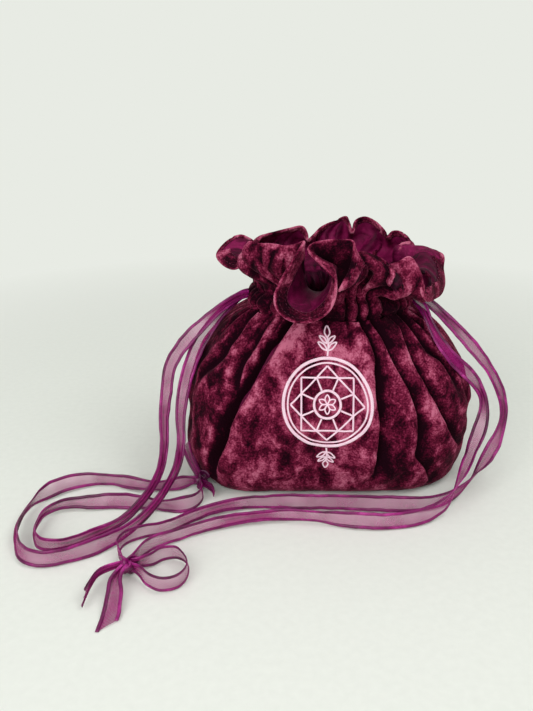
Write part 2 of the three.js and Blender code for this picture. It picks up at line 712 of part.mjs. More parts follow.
function joined(name, solids) {
  const mesh = solids.reduce((sum, solid) => sum.add(solid)).getMesh();
  const geometry = new THREE.BufferGeometry();
  geometry.setAttribute("position", new THREE.BufferAttribute(new Float32Array(mesh.vertProperties), 3));
  geometry.setIndex(new THREE.BufferAttribute(new Uint32Array(mesh.triVerts), 1));
  return addMesh(name, geometry, THREAD);
}

// Points along a straight line, no further apart than the spacing of the stitches.
function straight(start, end) {
  const length = Math.hypot(end[0] - start[0], end[1] - start[1]);
  const steps = Math.ceil(length / MOTIF_SPACING / 2);
  return [...Array(steps + 1).keys()].map((step) => [
    mix(start[0], end[0], step / steps),
    mix(start[1], end[1], step / steps),
  ]);
}

function onCircle(radius, degrees) {
  const turn = THREE.MathUtils.degToRad(degrees);
  return [radius * Math.cos(turn), radius * Math.sin(turn)];
}

function ring(frontPanel, radius, steps) {
  const full = 360;
  const points = [...Array(steps).keys()].map((step) => onCircle(radius, (full * step) / steps));
  return stroke(frontPanel, points, true);
}

function star(frontPanel) {
  const radius = (motifRadius - THREAD_WIDTH) * STAR_RADIUS_SHARE;
  const quarter = 90;
  const solids = [];
  for (let square = 0; square < STAR_SQUARES; square++) {
    const turn = (quarter * square) / STAR_SQUARES;
    for (let side = 0; side < 4; side++) {
      const start = onCircle(radius, turn + quarter * side);
      const end = onCircle(radius, turn + quarter * (side + 1));
      solids.push(stroke(frontPanel, straight(start, end)));
    }
  }
  return solids;
}

// A sprig that stands on the ring: a stem and pairs of leaves, upwards or downwards.
function sprig(frontPanel, direction) {
  const foot = motifRadius + MOTIF_SPACING;
  const tip = foot + sprigHeight;
  const leaf = sprigHeight * LEAF_SHARE;
  const solids = [stroke(frontPanel, straight([0, direction * foot], [0, direction * tip]))];
  for (let pair = 0; pair < LEAF_PAIRS; pair++) {
    const low = mix(foot, tip, (pair + 1) / (LEAF_PAIRS + 2));
    for (const side of [-1, 1]) {
      const leafTip = [side * leaf, direction * (low + leaf)];
      solids.push(stroke(frontPanel, straight([0, direction * low], leafTip)));
    }
  }
  return solids;
}

// The bag
basePlate("outer_base", 0, 0, VELVET_THICKNESS, VELVET);
const frontPanel = panel("outer_front_panel", true, 0, VELVET_THICKNESS, VELVET);
panel("outer_back_panel", false, 0, VELVET_THICKNESS, VELVET);
basePlate("lining_base", liningInset + LINING_THICKNESS + SEAM_GAP, panelFloor, LINING_THICKNESS, LINING);
panel("lining_front_panel", true, liningInset, LINING_THICKNESS, LINING);
panel("lining_back_panel", false, liningInset, LINING_THICKNESS, LINING);

// The gathered mouth
for (const isFront of [true, false]) {
  const side = isFront ? "front" : "back";
  channel(`${side}_channel`, isFront);
  ribbonInChannel(`left_ribbon_in_${side}_channel`, isFront, true);
  ribbonInChannel(`right_ribbon_in_${side}_channel`, isFront, false);
  frill(`${side}_frill`, isFront, FRILL_LAYER_GAP, VELVET_THICKNESS, VELVET);
  frill(`${side}_frill_lining`, isFront, -LINING_THICKNESS, LINING_THICKNESS, LINING);
}

// The two ribbons
ribbon("left_ribbon_outer_strand", LEFT_OUTER_STRAND);
ribbon("left_ribbon_inner_strand", LEFT_INNER_STRAND);
knot("left_knot", LEFT_KNOT_PLACE);
ribbon("left_long_tail", LEFT_LONG_TAIL);
ribbon("left_short_tail", LEFT_SHORT_TAIL);
ribbon("right_ribbon_outer_strand", RIGHT_OUTER_STRAND);
ribbon("right_ribbon_inner_strand", RIGHT_INNER_STRAND);
ribbon("right_ribbon_ring", RIGHT_RING_STRAND);
knot("right_knot", RIGHT_KNOT_PLACE);
ribbon("right_wide_tail", RIGHT_WIDE_TAIL);
ribbon("right_thin_tail", RIGHT_THIN_TAIL);

// The embroidery
bag.updateMatrixWorld(true);
joined("embroidered_ring", [ring(frontPanel, motifRadius, RING_STROKES)]);
joined("embroidered_star", star(frontPanel));
joined("embroidered_heart_ring", [ring(frontPanel, motifRadius * HEART_RADIUS_SHARE, RING_STROKES / 2)]);
joined("embroidered_upper_sprig", sprig(frontPanel, 1));
joined("embroidered_lower_sprig", sprig(frontPanel, -1));

export default bag;
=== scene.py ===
"""A lined velvet drawstring bag for dice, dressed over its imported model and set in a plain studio."""

from __future__ import annotations

import logging
import math
from collections.abc import Sequence
from dataclasses import dataclass
from enum import Enum
from typing import ClassVar

import bpy
import numpy as np
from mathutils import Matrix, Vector, noise
from mathutils.bvhtree import BVHTree

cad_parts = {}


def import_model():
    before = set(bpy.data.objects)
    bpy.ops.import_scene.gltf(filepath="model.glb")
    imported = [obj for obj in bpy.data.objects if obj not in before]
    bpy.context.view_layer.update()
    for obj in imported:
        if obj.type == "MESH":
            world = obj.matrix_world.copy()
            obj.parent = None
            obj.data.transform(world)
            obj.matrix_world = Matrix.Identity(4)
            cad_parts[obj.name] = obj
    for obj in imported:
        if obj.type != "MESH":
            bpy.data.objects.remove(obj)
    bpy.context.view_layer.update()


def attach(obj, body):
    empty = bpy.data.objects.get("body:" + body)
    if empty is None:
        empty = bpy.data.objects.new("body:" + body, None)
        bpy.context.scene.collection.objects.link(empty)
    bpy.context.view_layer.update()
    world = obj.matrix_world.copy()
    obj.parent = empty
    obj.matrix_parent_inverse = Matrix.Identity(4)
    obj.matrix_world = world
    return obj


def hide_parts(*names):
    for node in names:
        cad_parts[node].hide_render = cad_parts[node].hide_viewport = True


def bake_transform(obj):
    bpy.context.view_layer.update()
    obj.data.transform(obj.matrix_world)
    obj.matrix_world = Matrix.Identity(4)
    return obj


LOG = logging.getLogger("dice_bag")

Array = np.ndarray
Numbers = Array | float
Pair = tuple[float, float]
Piece = bpy.types.Object
Row = tuple[float, ...]
Stops = tuple[tuple[float, str], ...]

UP = np.array([0.0, 0.0, 1.0])
FULL_TURN = 2 * math.pi
HALF_TURN = math.pi


class Half(Enum):
    """The two halves that meet at the side seams. The value is the turn at which a half starts."""

    FRONT = HALF_TURN
    BACK = 0.0

    @property
    def word(self) -> str:
        """The half's name as the pieces carry it."""
        return self.name.lower()

    @property
    def side(self) -> float:
        """The half's side of the seams along Y."""
        return -1.0 if self is Half.FRONT else 1.0

    @property
    def mouth(self) -> str:
        """The body that the half of the mouth moves with."""
        return f"mouth_{self.word}"


def in_metres(first: int, *rows: Row) -> tuple[Row, ...]:
    """Turns the places in rows, three columns from the first one on, from millimetres into metres."""
    last = first + 3
    return tuple((*row[:first], *(size / 1000 for size in row[first:last]), *row[last:]) for row in rows)


# The ribbons' routes in millimetres: each place, and then the direction of the ribbon's width there

LEFT_OUTER_STRAND = in_metres(
    0,
    (-35, -2.2, 111.5, 0, 0, 1), (-45, -2.2, 111.5, 0, 0, 1), (-54, -4.5, 111.2, -0.2, 0.1, 1),
    (-67, -10, 105, -0.6, 0.3, 0.7), (-79.5, -14.5, 95, -0.7, 0.3, 0.6),
    (-90, -18.5, 84, -0.85, 0.2, 0.4), (-98, -20.5, 71, -0.95, 0.1, 0.2),
    (-100.5, -24.5, 56, -1, 0.1, 0.05), (-102, -30, 40, -1, 0.1, 0),
    (-101.5, -38.5, 26.5, -0.95, 0.1, 0.2), (-102, -51, 18, -0.8, 0.2, 0.5),
    (-105, -65, 13.5, -0.6, 0.3, 0.7), (-111, -78, 9.5, -0.4, 0.3, 0.9),
    (-120, -90, 6.2, -0.3, 0.3, 0.95), (-133, -101.5, 5.6, -0.2, 0.3, 1), (-147, -110, 5.6, 0, 0.3, 1),
    (-158, -110, 5.6, 0.1, 0.2, 1), (-164.5, -102, 5.6, 0.2, 0, 1), (-167, -90, 5.6, 0.2, 0, 1),
    (-165, -78.5, 5.6, 0.1, 0.1, 1), (-157, -71.5, 5.6, 0, 0.3, 1), (-142, -69.5, 5.6, 0, 0.3, 1),
    (-127, -67.5, 5.2, 0, 0.5, 0.9), (-113, -65.5, 2.9, 0, 1, 0.35), (-101, -66.5, 1.6, 0, 1, 0.1),
    (-90, -69.5, 3.6, 0, 0.7, 0.6), (-80.5, -68, 5.6, 0, 0.1, 1), (-77, -60, 5.6, 0, 0, 1),
    (-79.3, -50.1, 5.6, 0, 0, 1),
)
LEFT_INNER_STRAND = in_metres(
    0,
    (-35, 2.2, 111.5, 0, 0, 1), (-45, 2.2, 111.5, 0, 0, 1), (-53, 0.5, 110.8, -0.2, 0.1, 1),
    (-62.5, -4, 104.5, -0.6, 0.3, 0.7), (-73, -9, 94, -0.7, 0.3, 0.6),
    (-81, -14.5, 82, -0.85, 0.2, 0.4), (-86.2, -23, 70, -0.95, 0.1, 0.2),
    (-89.5, -29, 57.5, -1, 0.1, 0), (-91.3, -36, 43, -1, 0, 0), (-91, -43, 29, -0.95, 0.1, 0.2),
    (-92, -54.5, 20, -0.8, 0.2, 0.5), (-96, -69, 15.5, -0.6, 0.3, 0.7),
    (-103, -83.5, 10.5, -0.4, 0.3, 0.9), (-113, -97, 6.6, -0.3, 0.3, 0.95),
    (-126, -109.5, 5.6, -0.2, 0.3, 1), (-141, -119.5, 5.6, 0, 0.3, 1), (-154, -123, 5.6, 0.1, 0.2, 1),
    (-166, -117.5, 5.6, 0.2, 0, 1), (-174, -103, 5.6, 0.2, 0, 1), (-177, -84, 5.6, 0.2, 0, 1),
    (-174.5, -66.5, 5.6, 0.2, 0.1, 1), (-165, -52.5, 5.6, 0.1, 0.3, 1), (-150, -44.5, 5.6, 0, 0.3, 1),
    (-132, -44.5, 5.4, 0, 0.4, 1), (-117, -46.5, 3.4, 0, 0.9, 0.5), (-105, -46, 1.8, 0, 1, 0.1),
    (-94, -45, 2.8, 0, 1, 0.4), (-85.4, -44.6, 5.6, 0, 0, 1),
)
RIGHT_OUTER_STRAND = in_metres(
    0,
    (35, 2.2, 111.5, 0, 0, 1), (45, 2.2, 111.5, 0, 0, 1), (53, 0, 111, 0.2, 0.1, 1),
    (63, -5, 105, 0.6, 0.3, 0.7), (75.5, -11, 94.5, 0.7, 0.3, 0.6), (86.5, -16.5, 83, 0.8, 0.2, 0.5),
    (96, -21.5, 71, 0.9, 0.2, 0.3), (103.5, -25.5, 58, 1, 0.2, 0.1), (106.5, -29, 44.5, 1, 0.2, 0),
    (103.5, -34.5, 31.5, 1, 0.1, 0.2), (96.5, -41.5, 20.5, 0.9, 0.1, 0.4),
    (88, -49.5, 12.5, 0.7, 0.2, 0.7), (78, -58.5, 7.6, 0.4, 0.2, 0.9), (65, -67.5, 6, 0.1, 0.2, 1),
    (50, -71.5, 5.6, 0, 0.2, 1), (33, -71.5, 5.6, 0, 0.2, 1), (12, -70.5, 5.6, 0, 0.2, 1),
    (-10, -69.5, 5.6, 0, 0.2, 1), (-33, -69, 5.6, 0, 0.2, 1), (-53, -71, 5.6, 0, 0.2, 1),
    (-69, -76.5, 5.6, 0, 0.2, 1), (-83, -86.5, 5.6, 0, 0.1, 1), (-94, -94.5, 5.6, 0, 0.1, 1),
    (-105.5, -98.5, 5.6, 0, 0, 1), (-114.5, -104.5, 5.6, 0, 0, 1), (-116.5, -113, 5.6, 0, 0, 1),
    (-112, -122.2, 5.8, 0, 0, 1),
)
RIGHT_INNER_STRAND = in_metres(
    0,
    (35, -2.2, 111.5, 0, 0, 1), (45, -2.2, 111.5, 0, 0, 1), (50.5, -6.5, 111.3, 0.2, 0.2, 1),
    (54.5, -14.5, 107.5, 0.5, 0.5, 0.6), (57.5, -23, 100, 0.65, 0.7, 0.1),
    (64, -30.5, 89.5, 0.65, 0.6, 0.3), (71.5, -34, 80.5, 0.7, 0.45, 0.5),
    (80, -32.5, 72.5, 0.85, 0.3, 0.3), (87.5, -30, 64, 0.95, 0.2, 0.1), (92.5, -30, 54.5, 1, 0.1, 0),
    (93, -33.5, 45.5, 1, 0.1, 0.1), (90, -39.5, 37.5, 0.9, 0.1, 0.3), (85, -47, 30, 0.85, 0.1, 0.5),
    (79.5, -56.5, 25, 0.75, 0.1, 0.6), (73, -67, 18, 0.5, 0.1, 0.8), (64, -77, 10.5, 0.2, 0.1, 1),
    (52, -83, 6.2, 0, 0.2, 1), (38, -88, 5.6, 0, 0.2, 1), (22, -89, 5.6, 0, 0.2, 1),
    (4, -87, 5.6, 0, 0.2, 1), (-14, -84, 5.6, 0, 0.2, 1), (-34, -83, 5.6, 0, 0.2, 1),
    (-53, -86, 5.6, 0, 0.2, 1), (-70, -92.5, 5.6, 0, 0.2, 1), (-85, -100.5, 5.6, 0, 0.1, 1),
    (-96.5, -107, 5.6, 0, 0, 1), (-102.5, -113.5, 5.6, 0, 0, 1), (-106.3, -122, 5.8, 0, 0, 1),
)
RIGHT_RING_STRAND = in_metres(
    0,
    (-103.9, -129.8, 5.8, 0, 0, 1), (-98, -137.5, 5.8, 0.1, -0.1, 1), (-90.5, -142, 5.8, 0.1, -0.1, 1),
    (-82.5, -139.5, 5.8, 0.1, 0, 1), (-79, -131.5, 5.8, 0.1, 0, 1), (-80.5, -122.5, 5.8, 0, 0, 1),
    (-86, -117, 5.8, 0, 0, 1), (-92.5, -118, 5.8, 0, 0, 1), (-97.5, -123.2, 5.8, 0, 0, 1),
    (-103.2, -126, 5.8, 0, 0, 1),
)
RIGHT_WIDE_TAIL = in_metres(
    0,
    (-111.2, -132.2, 6.4, 1, 0, 0), (-112.5, -141, 7, 1, 0, 0), (-111.5, -149, 5, 1, 0, 0),
    (-111.5, -158, 1.6, 1, -0.1, 0), (-111.8, -165, 0.8, 1, -0.2, 0),
)
RIGHT_THIN_TAIL = in_metres(
    0,
    (-114.5, -129.1, 5.8, 0, 0, 1), (-121, -133.5, 5.6, 0.2, 0, 1), (-124, -143, 5.6, 0.1, 0, 1),
    (-125, -151.5, 5.6, 0, 0, 1),
)
LEFT_LONG_TAIL = in_metres(
    0,
    (-81.5, -40.4, 8.6, 1, 0.3, 0), (-84.4, -36.8, 12.6, 1, 0.3, 0), (-87, -33, 17.8, 1, 0.2, 0),
    (-88.5, -30.5, 23.5, 1, 0.2, 0),
)
LEFT_SHORT_TAIL = in_metres(
    0,
    (-75.7, -48.8, 5.6, 0, 0, 1), (-71.2, -53.5, 5.6, 0, 0, 1), (-69.5, -60, 5.6, 0, 0, 1),
)

# The frill's rim: the turn in degrees at which its cloth leaves the neck, and its place in millimetres

RIM = in_metres(
    1,
    (180, -68, -3, 137), (186, -64, -12, 133), (193, -57, -18, 132), (199, -51, -22, 138),
    (203, -50, -24, 144), (207, -49, -26, 148), (212, -44, -30, 148), (221, -36, -36, 149),
    (230, -29, -41, 149), (237, -23, -45, 151), (241, -19, -48, 153), (243.5, -21, -52, 150),
    (246, -26, -57, 143), (248.5, -31, -61, 135), (250.5, -34, -64, 128), (252.5, -33, -65, 122),
    (255, -28, -66, 117), (257.5, -21, -67, 115), (260, -13, -66, 116), (262.5, -6, -65, 121),
    (264.5, -3, -63, 128), (266.5, -3, -60, 136), (268.5, -7, -57, 141), (270, -13, -52, 146),
    (271.5, -16, -48, 149), (273, -14, -46, 151), (276, -6, -46, 153), (279, 1, -46, 153),
    (281.5, 7, -47, 153), (283.5, 8, -50, 150), (285, 7, -54, 142), (287, 3, -58, 135),
    (288.5, 0, -60, 130), (290, 4, -55, 134), (292, 8, -48, 141), (294.5, 12, -43, 146),
    (298, 17, -41, 145), (302, 23, -41, 143), (305, 28, -42, 138), (307.5, 27, -38, 134),
    (309.5, 26, -33, 136), (312, 30, -35, 137), (315, 35, -37, 139), (318.5, 41, -37, 142),
    (321, 44, -38, 138), (324, 46, -40, 130), (327.5, 49, -40, 122), (332, 53, -36, 118),
    (337, 58, -28, 117), (344, 65, -16, 117), (351, 68, -8, 121), (358, 68, -1, 128), (365, 69, 6, 134),
    (371, 63, 14, 135), (377, 56, 18, 135), (382, 53, 22, 138), (388, 48, 27, 143), (395, 43, 31, 143),
    (399, 39, 30, 140), (404, 38, 36, 142), (411, 33, 41, 147), (418, 26, 43, 150), (424, 20, 42, 148),
    (429, 17, 36, 142), (433, 15, 42, 147), (439, 13, 46, 150), (446, 7, 48, 147), (453, -2, 47, 143),
    (460, -8, 43, 138), (466, -12, 36, 137), (471, -13, 38, 141), (477, -16, 38, 145),
    (485, -24, 36, 144), (496, -33, 30, 143), (508, -42, 22, 142), (517, -46, 14, 140),
    (524, -50, 10, 143), (530, -55, 9, 145), (536, -62, 4, 143),
)

# How far the frill's cloth puffs outwards, instead of rising, before it turns up to the rim, by turn

PUFFS = ((180, 0.0), (303, 0.0), (309, 0.9), (326, 0.9), (337, 0.3), (346, 0.0), (540, 0.0))

# The frill's creases: the turn at the foot, the turn at the rim, the depth and the width in degrees

FRILL_CREASES = (
    (223, 200, 0.0036, 2.8),
    (233, 216, 0.0024, 2.6),
    (293, 287, 0.0032, 2.2),
    (301, 308, 0.0034, 2.2),
    (322, 329, 0.0022, 3.0),
    (26, 32, 0.0024, 3.0),
    (58, 51, 0.0026, 3.0),
    (86, 90, 0.0022, 3.0),
    (128, 121, 0.0026, 3.0),
    (151, 157, 0.0022, 3.0),
)


# Smooth tables, routes and noise


def ease(value: Array, low: float, high: float) -> Array:
    """Rises smoothly from 0 at the low value to 1 at the high one."""
    share = np.clip((np.asarray(value) - low) / (high - low), 0, 1)
    return share * share * (3 - 2 * share)


def bell(value: Array, width: Numbers = 1.0) -> Array:
    """Gives 1 where a value is 0, and falls off smoothly over a width on both sides."""
    return np.exp(-((value / width) ** 2))


def smooth_between(at: Array, stations: Sequence[float], values: Sequence[float]) -> Array:
    """Reads a table of values smoothly and without overshoot.

    Args:
        at: Where the table is read.
        stations: The table's places, rising.
        values: The table's values.

    Returns:
        One value for each place in at.
    """
    places = np.asarray(stations, float)
    heights = np.asarray(values, float)
    steps = np.diff(places)
    slopes = np.diff(heights) / steps
    product = slopes[:-1] * slopes[1:]
    total = np.where(product > 0, slopes[:-1] + slopes[1:], 1)
    inner = np.where(product > 0, 2 * product / total, 0)
    grades = np.concatenate([slopes[:1], inner, slopes[-1:]])
    index = np.clip(np.searchsorted(places, at, side="right") - 1, 0, len(steps) - 1)
    share = np.clip((at - places[index]) / steps[index], 0, 1)
    rise = heights[index + 1] - heights[index]
    curve = share * share * (3 - 2 * share) * rise
    start_pull = share * (1 - share) ** 2 * grades[index] * steps[index]
    end_pull = share * share * (share - 1) * grades[index + 1] * steps[index]
    return heights[index] + curve + start_pull + end_pull


def lengths_along(line: Array) -> Array:
    """Measures how far each place lies along a line. The first three columns are the place."""
    gaps = np.linalg.norm(np.diff(line[:, :3], axis=0), axis=1)
    return np.concatenate([[0], np.cumsum(gaps)])


def read_rows(at: Array, stations: Array, rows: Array) -> Array:
    """Reads every column of the rows, which lie at the stations, at other places."""
    return np.column_stack([np.interp(at, stations, column) for column in rows.T])


def smooth_route(rows: Sequence[Row], step: float) -> Array:
    """Runs a centripetal curve through points and samples it at even steps.

    Args:
        rows: The points. The first three numbers of each are its place.
        step: The distance between samples, in metres.

    Returns:
        The samples, one row each.
    """
    points = np.asarray(rows, float)
    points = np.vstack([2 * points[0] - points[1], points, 2 * points[-1] - points[-2]])
    fine_steps, least_gap = 24, 1e-4
    share = np.linspace(0, 1, fine_steps, endpoint=False)[:, None]
    pieces = []
    for before, start, end, after in zip(points, points[1:], points[2:], points[3:]):
        lead, middle, tail = (
            max(float(np.linalg.norm((far - near)[:3])) ** 0.5, least_gap)
            for near, far in ((before, start), (start, end), (end, after))
        )
        first = (start - before) / lead - (end - before) / (lead + middle) + (end - start) / middle
        last = (end - start) / middle - (after - start) / (middle + tail) + (after - end) / tail
        first, last = first * middle, last * middle
        cube = 2 * start - 2 * end + first + last
        square = 3 * end - 3 * start - 2 * first - last
        pieces.append(cube * share**3 + square * share**2 + first * share + start)
    fine = np.vstack([*pieces, points[-2:-1]])
    lengths = lengths_along(fine)
    even = np.linspace(0, lengths[-1], max(3, round(lengths[-1] / step)) + 1)
    return read_rows(even, lengths, fine)


def crumple(places: Array, size: float, seed: float) -> Array:
    """Gives smooth seeded noise at places.

    Args:
        places: The places, in an array whose last axis is x, y and z.
        size: The size of a bump, in metres.
        seed: Which noise to use.

    Returns:
        Values from about -1 to 1, one for each place.
    """
    rows = places.reshape(-1, 3) / size + seed
    values = [noise.noise(Vector(row)) for row in rows]
    return np.array(values).reshape(places.shape[:-1])


def wobble(lengths: Array, size: float, seed: float, layer: float) -> Array:
    """Gives smooth seeded noise along a line, from about -1 to 1."""
    return np.array([noise.noise(Vector((at / size, seed, layer))) for at in lengths])


@dataclass(frozen=True)
class Dents:
    """One layer of soft dents in cloth: how deep they are, how wide, and which noise makes them."""

    depth: float
    size: float
    seed: float

    def on(self, places: Array) -> Array:
        """Gives how far the dents move each place."""
        return self.depth * crumple(places, self.size, self.seed)


# Meshes from rows of places


def unit(vectors: Array) -> Array:
    """Scales vectors to a length of 1."""
    length = np.linalg.norm(vectors, axis=-1, keepdims=True)
    return vectors / np.maximum(length, 1e-9)


def grid_normals(places: Array, is_wrapped: bool = False) -> Array:
    """Works out which way a grid of places faces.

    Args:
        places: Rows and columns of places.
        is_wrapped: Whether the last column meets the first.

    Returns:
        A unit normal for each place.
    """
    if is_wrapped:
        across = np.roll(places, -1, axis=1) - np.roll(places, 1, axis=1)
    else:
        across = np.gradient(places, axis=1)
    return unit(np.cross(across, np.gradient(places, axis=0)))


def grid_faces(rows: int, columns: int, is_wrapped: bool, first: int = 0) -> Array:
    """Lists the faces of a grid.

    Args:
        rows: How many rows of places there are.
        columns: How many places a row has.
        is_wrapped: Whether the last column meets the first.
        first: The index of the grid's first place.

    Returns:
        Four indices for each face.
    """
    index = first + np.arange(rows * columns).reshape(rows, columns)
    left = index if is_wrapped else index[:, :-1]
    right = np.roll(index, -1, axis=1) if is_wrapped else index[:, 1:]
    return np.stack([left[:-1], right[:-1], right[1:], left[1:]], axis=-1).reshape(-1, 4)


# How many places away a bend is measured, and the height of a crest that counts as 1

CREST_REACH = 4
CREST_FULLNESS = 0.0009


def crests(places: Array, is_wrapped: bool) -> Array:
    """Grades a grid by how sharply it bends: 1 on a crest, 0 where it is flat and -1 in a valley.

    Args:
        places: Rows and columns of places.
        is_wrapped: Whether the last column meets the first.

    Returns:
        The grade of each place.
    """
    normals = grid_normals(places, is_wrapped)
    edges = {"mode": "wrap"} if is_wrapped else {"mode": "reflect", "reflect_type": "odd"}
    padded = np.pad(places, ((0, 0), (CREST_REACH, CREST_REACH), (0, 0)), **edges)
    sides = (padded[:, : -2 * CREST_REACH] + padded[:, 2 * CREST_REACH :]) / 2
    height = np.sum((places - sides) * normals, axis=-1)
    return np.clip(height / CREST_FULLNESS, -1, 1)


def make_mesh(name: str, places: Array, faces: Sequence[Sequence[int]]) -> Piece:
    """Makes a smooth mesh object.

    Args:
        name: The piece's name.
        places: The vertices, in metres.
        faces: The vertex indices of each face.

    Returns:
        The new object.
    """
    mesh = bpy.data.meshes.new(name)
    mesh.from_pydata(np.asarray(places).reshape(-1, 3).tolist(), [], [list(face) for face in faces])
    mesh.polygons.foreach_set("use_smooth", [True] * len(mesh.polygons))
    mesh.update()
    piece = bpy.data.objects.new(name, mesh)
    bpy.context.scene.collection.objects.link(piece)
    return piece


def give_number(piece: Piece, name: str, values: Array) -> None:
    """Writes one named number on each vertex of a piece."""
    attribute = piece.data.attributes.new(name, "FLOAT", "POINT")
    attribute.data.foreach_set("value", np.asarray(values, float).ravel())


def give_chart(piece: Piece, along: Array, across: Array) -> None:
    """Writes a flat chart of the cloth, in metres, as the piece's UV map.

    Args:
        piece: The piece.
        along: The distance along the cloth at each vertex.
        across: The distance across the cloth at each vertex.
    """
    chart = piece.data.uv_layers.new(name="cloth")
    corners = np.empty(len(piece.data.loops), dtype=np.int64)
    piece.data.loops.foreach_get("vertex_index", corners)
    flat = np.column_stack([np.ravel(along)[corners], np.ravel(across)[corners]])
    chart.data.foreach_set("uv", flat.ravel())


def make_cloth(
    name: str, places: Array, is_wrapped: bool = False, painted_light_and_shade: Numbers = 0.0
) -> Piece:
    """Makes a piece of cloth from rows of places, with its crests marked, which the finishes turn into
    painted highlights on crests and painted shade in valleys.

    Args:
        name: The piece's name.
        places: Rows and columns of places.
        is_wrapped: Whether the last column meets the first.
        painted_light_and_shade: Painted light, where positive, and painted shade, where negative, added to
            the crests' grade.

    Returns:
        The new object.
    """
    piece = make_mesh(name, places, grid_faces(*places.shape[:2], is_wrapped))
    # The crest number carries the crests' grade plus the painted light and shade of the piece.
    give_number(piece, "crest", crests(places, is_wrapped) + painted_light_and_shade)
    return piece


# Finishes


def colour(code: str) -> tuple[float, float, float, float]:
    """Turns a screen colour such as "#8A1A6E" into the light that the shader works with.

    Args:
        code: The screen colour.

    Returns:
        Red, green, blue and a full alpha.
    """
    levels = [int(code[place : place + 2], 16) / 255 for place in (1, 3, 5)]
    red, green, blue = (
        level / 12.92 if level <= 0.04045 else ((level + 0.055) / 1.055) ** 2.4 for level in levels
    )
    return red, green, blue, 1.0


class Signal:
    """A shader socket that can be used in sums as if it were a number."""

    def __init__(self, dye: Dye, socket: bpy.types.NodeSocket) -> None:
        """Keeps the socket and the finish that it belongs to."""
        self.dye = dye
        self.socket = socket

    def _sum(self, operation: str, left: Signal | float, right: Signal | float) -> Signal:
        """Adds one Math node."""
        return self.dye.node("ShaderNodeMath", {"operation": operation}, {0: left, 1: right})

    def __add__(self, other: Signal | float) -> Signal:
        """Adds."""
        return self._sum("ADD", self, other)

    def __radd__(self, other: Signal | float) -> Signal:
        """Adds to a number."""
        return self._sum("ADD", other, self)

    def __sub__(self, other: Signal | float) -> Signal:
        """Takes away."""
        return self._sum("SUBTRACT", self, other)

    def __rsub__(self, other: Signal | float) -> Signal:
        """Takes from a number."""
        return self._sum("SUBTRACT", other, self)

    def __mul__(self, other: Signal | float) -> Signal:
        """Multiplies."""
        return self._sum("MULTIPLY", self, other)

    def __rmul__(self, other: Signal | float) -> Signal:
        """Multiplies a number."""
        return self._sum("MULTIPLY", other, self)

    def at_most(self, limit: Signal | float) -> Signal:
        """Keeps the smaller of this and a limit."""
        return self._sum("MINIMUM", self, limit)

    def at_least(self, limit: Signal | float) -> Signal:
        """Keeps the larger of this and a limit."""
        return self._sum("MAXIMUM", self, limit)


class Dye:
    """One material as it is being mixed."""

    def __init__(self, name: str) -> None:
        """Starts an empty material.

        Args:
            name: The material's name.
        """
        self.material = bpy.data.materials.new(name)
        self.material.use_nodes = True
        self.material.node_tree.nodes.clear()

    def node(
        self,
        kind: str,
        settings: dict[str, object] | None = None,
        inputs: dict[str | int, object] | None = None,
        output: str | int = 0,
    ) -> Signal:
        """Adds a node.

        Args:
            kind: The node's type.
            settings: What is set on the node first. Under "stops", a ramp's places and colours.
            inputs: Values or signals for its sockets, by name or number.
            output: The socket that is read.

        Returns:
            The socket that is read, as a signal.
        """
        node = self.material.node_tree.nodes.new(kind)
        for name, value in (settings or {}).items():
            if name == "stops":
                self._set_stops(node.color_ramp, value)
            else:
                setattr(node, name, value)
        for name, value in (inputs or {}).items():
            if isinstance(value, Signal):
                self.material.node_tree.links.new(value.socket, node.inputs[name])
            else:
                node.inputs[name].default_value = value
        return Signal(self, node.outputs[output] if node.outputs else node.inputs[0])

    @staticmethod
    def _set_stops(ramp: bpy.types.ColorRamp, stops: Stops) -> None:
        """Sets a ramp's stops.

        Args:
            ramp: The ramp.
            stops: Each stop's place and screen colour.
        """
        while len(ramp.elements) < len(stops):
            ramp.elements.new(1.0)
        for element, (place, code) in zip(ramp.elements, stops):
            element.position = place
            element.color = colour(code)

    def place(self) -> Signal:
        """Gives the place on the piece."""
        return self.node("ShaderNodeTexCoord", output="Object")

    def chart(self) -> Signal:
        """Gives the place on the flat cloth."""
        return self.node("ShaderNodeUVMap", {"uv_map": "cloth"}, output="UV")

    def grade(self, name: str) -> Signal:
        """Gives a number that the piece carries, such as its crests."""
        return self.node("ShaderNodeAttribute", {"attribute_name": name}, output="Fac")

    def speckle(self, size: float, detail: float = 2.0, twist: float = 0.0, tall: float = 1.0) -> Signal:
        """Adds noise over the piece.

        Args:
            size: The size of a blotch, in metres.
            detail: How many finer layers it has.
            twist: How much the blotches are distorted.
            tall: How many times as tall as wide the blotches are.

        Returns:
            Values around 0.5.
        """
        squash = {0: self.place(), 1: (1.0, 1.0, 1 / tall)}
        place = self.node("ShaderNodeVectorMath", {"operation": "MULTIPLY"}, squash)
        sockets = {"Vector": place, "Scale": 1 / size, "Detail": detail, "Distortion": twist}
        return self.node("ShaderNodeTexNoise", None, sockets)

    def ramp(self, value: Signal, stops: Stops) -> Signal:
        """Turns a value into a colour, by each stop's place and screen colour."""
        return self.node("ShaderNodeValToRGB", {"stops": stops}, {0: value})

    def relief(self, height: Signal, distance: float, strength: float) -> Signal:
        """Turns heights into a bumpy normal, where a height of 1 stands for the distance in metres."""
        sockets = {"Height": height, "Distance": distance, "Strength": strength}
        return self.node("ShaderNodeBump", None, sockets)

    def finish(self, sockets: dict[str | int, object]) -> bpy.types.Material:
        """Closes the material with its shader.

        Args:
            sockets: The shader's values and signals.

        Returns:
            The material.
        """
        shader = self.node("ShaderNodeBsdfPrincipled", None, sockets)
        self.node("ShaderNodeOutputMaterial", None, {"Surface": shader})
        return self.material


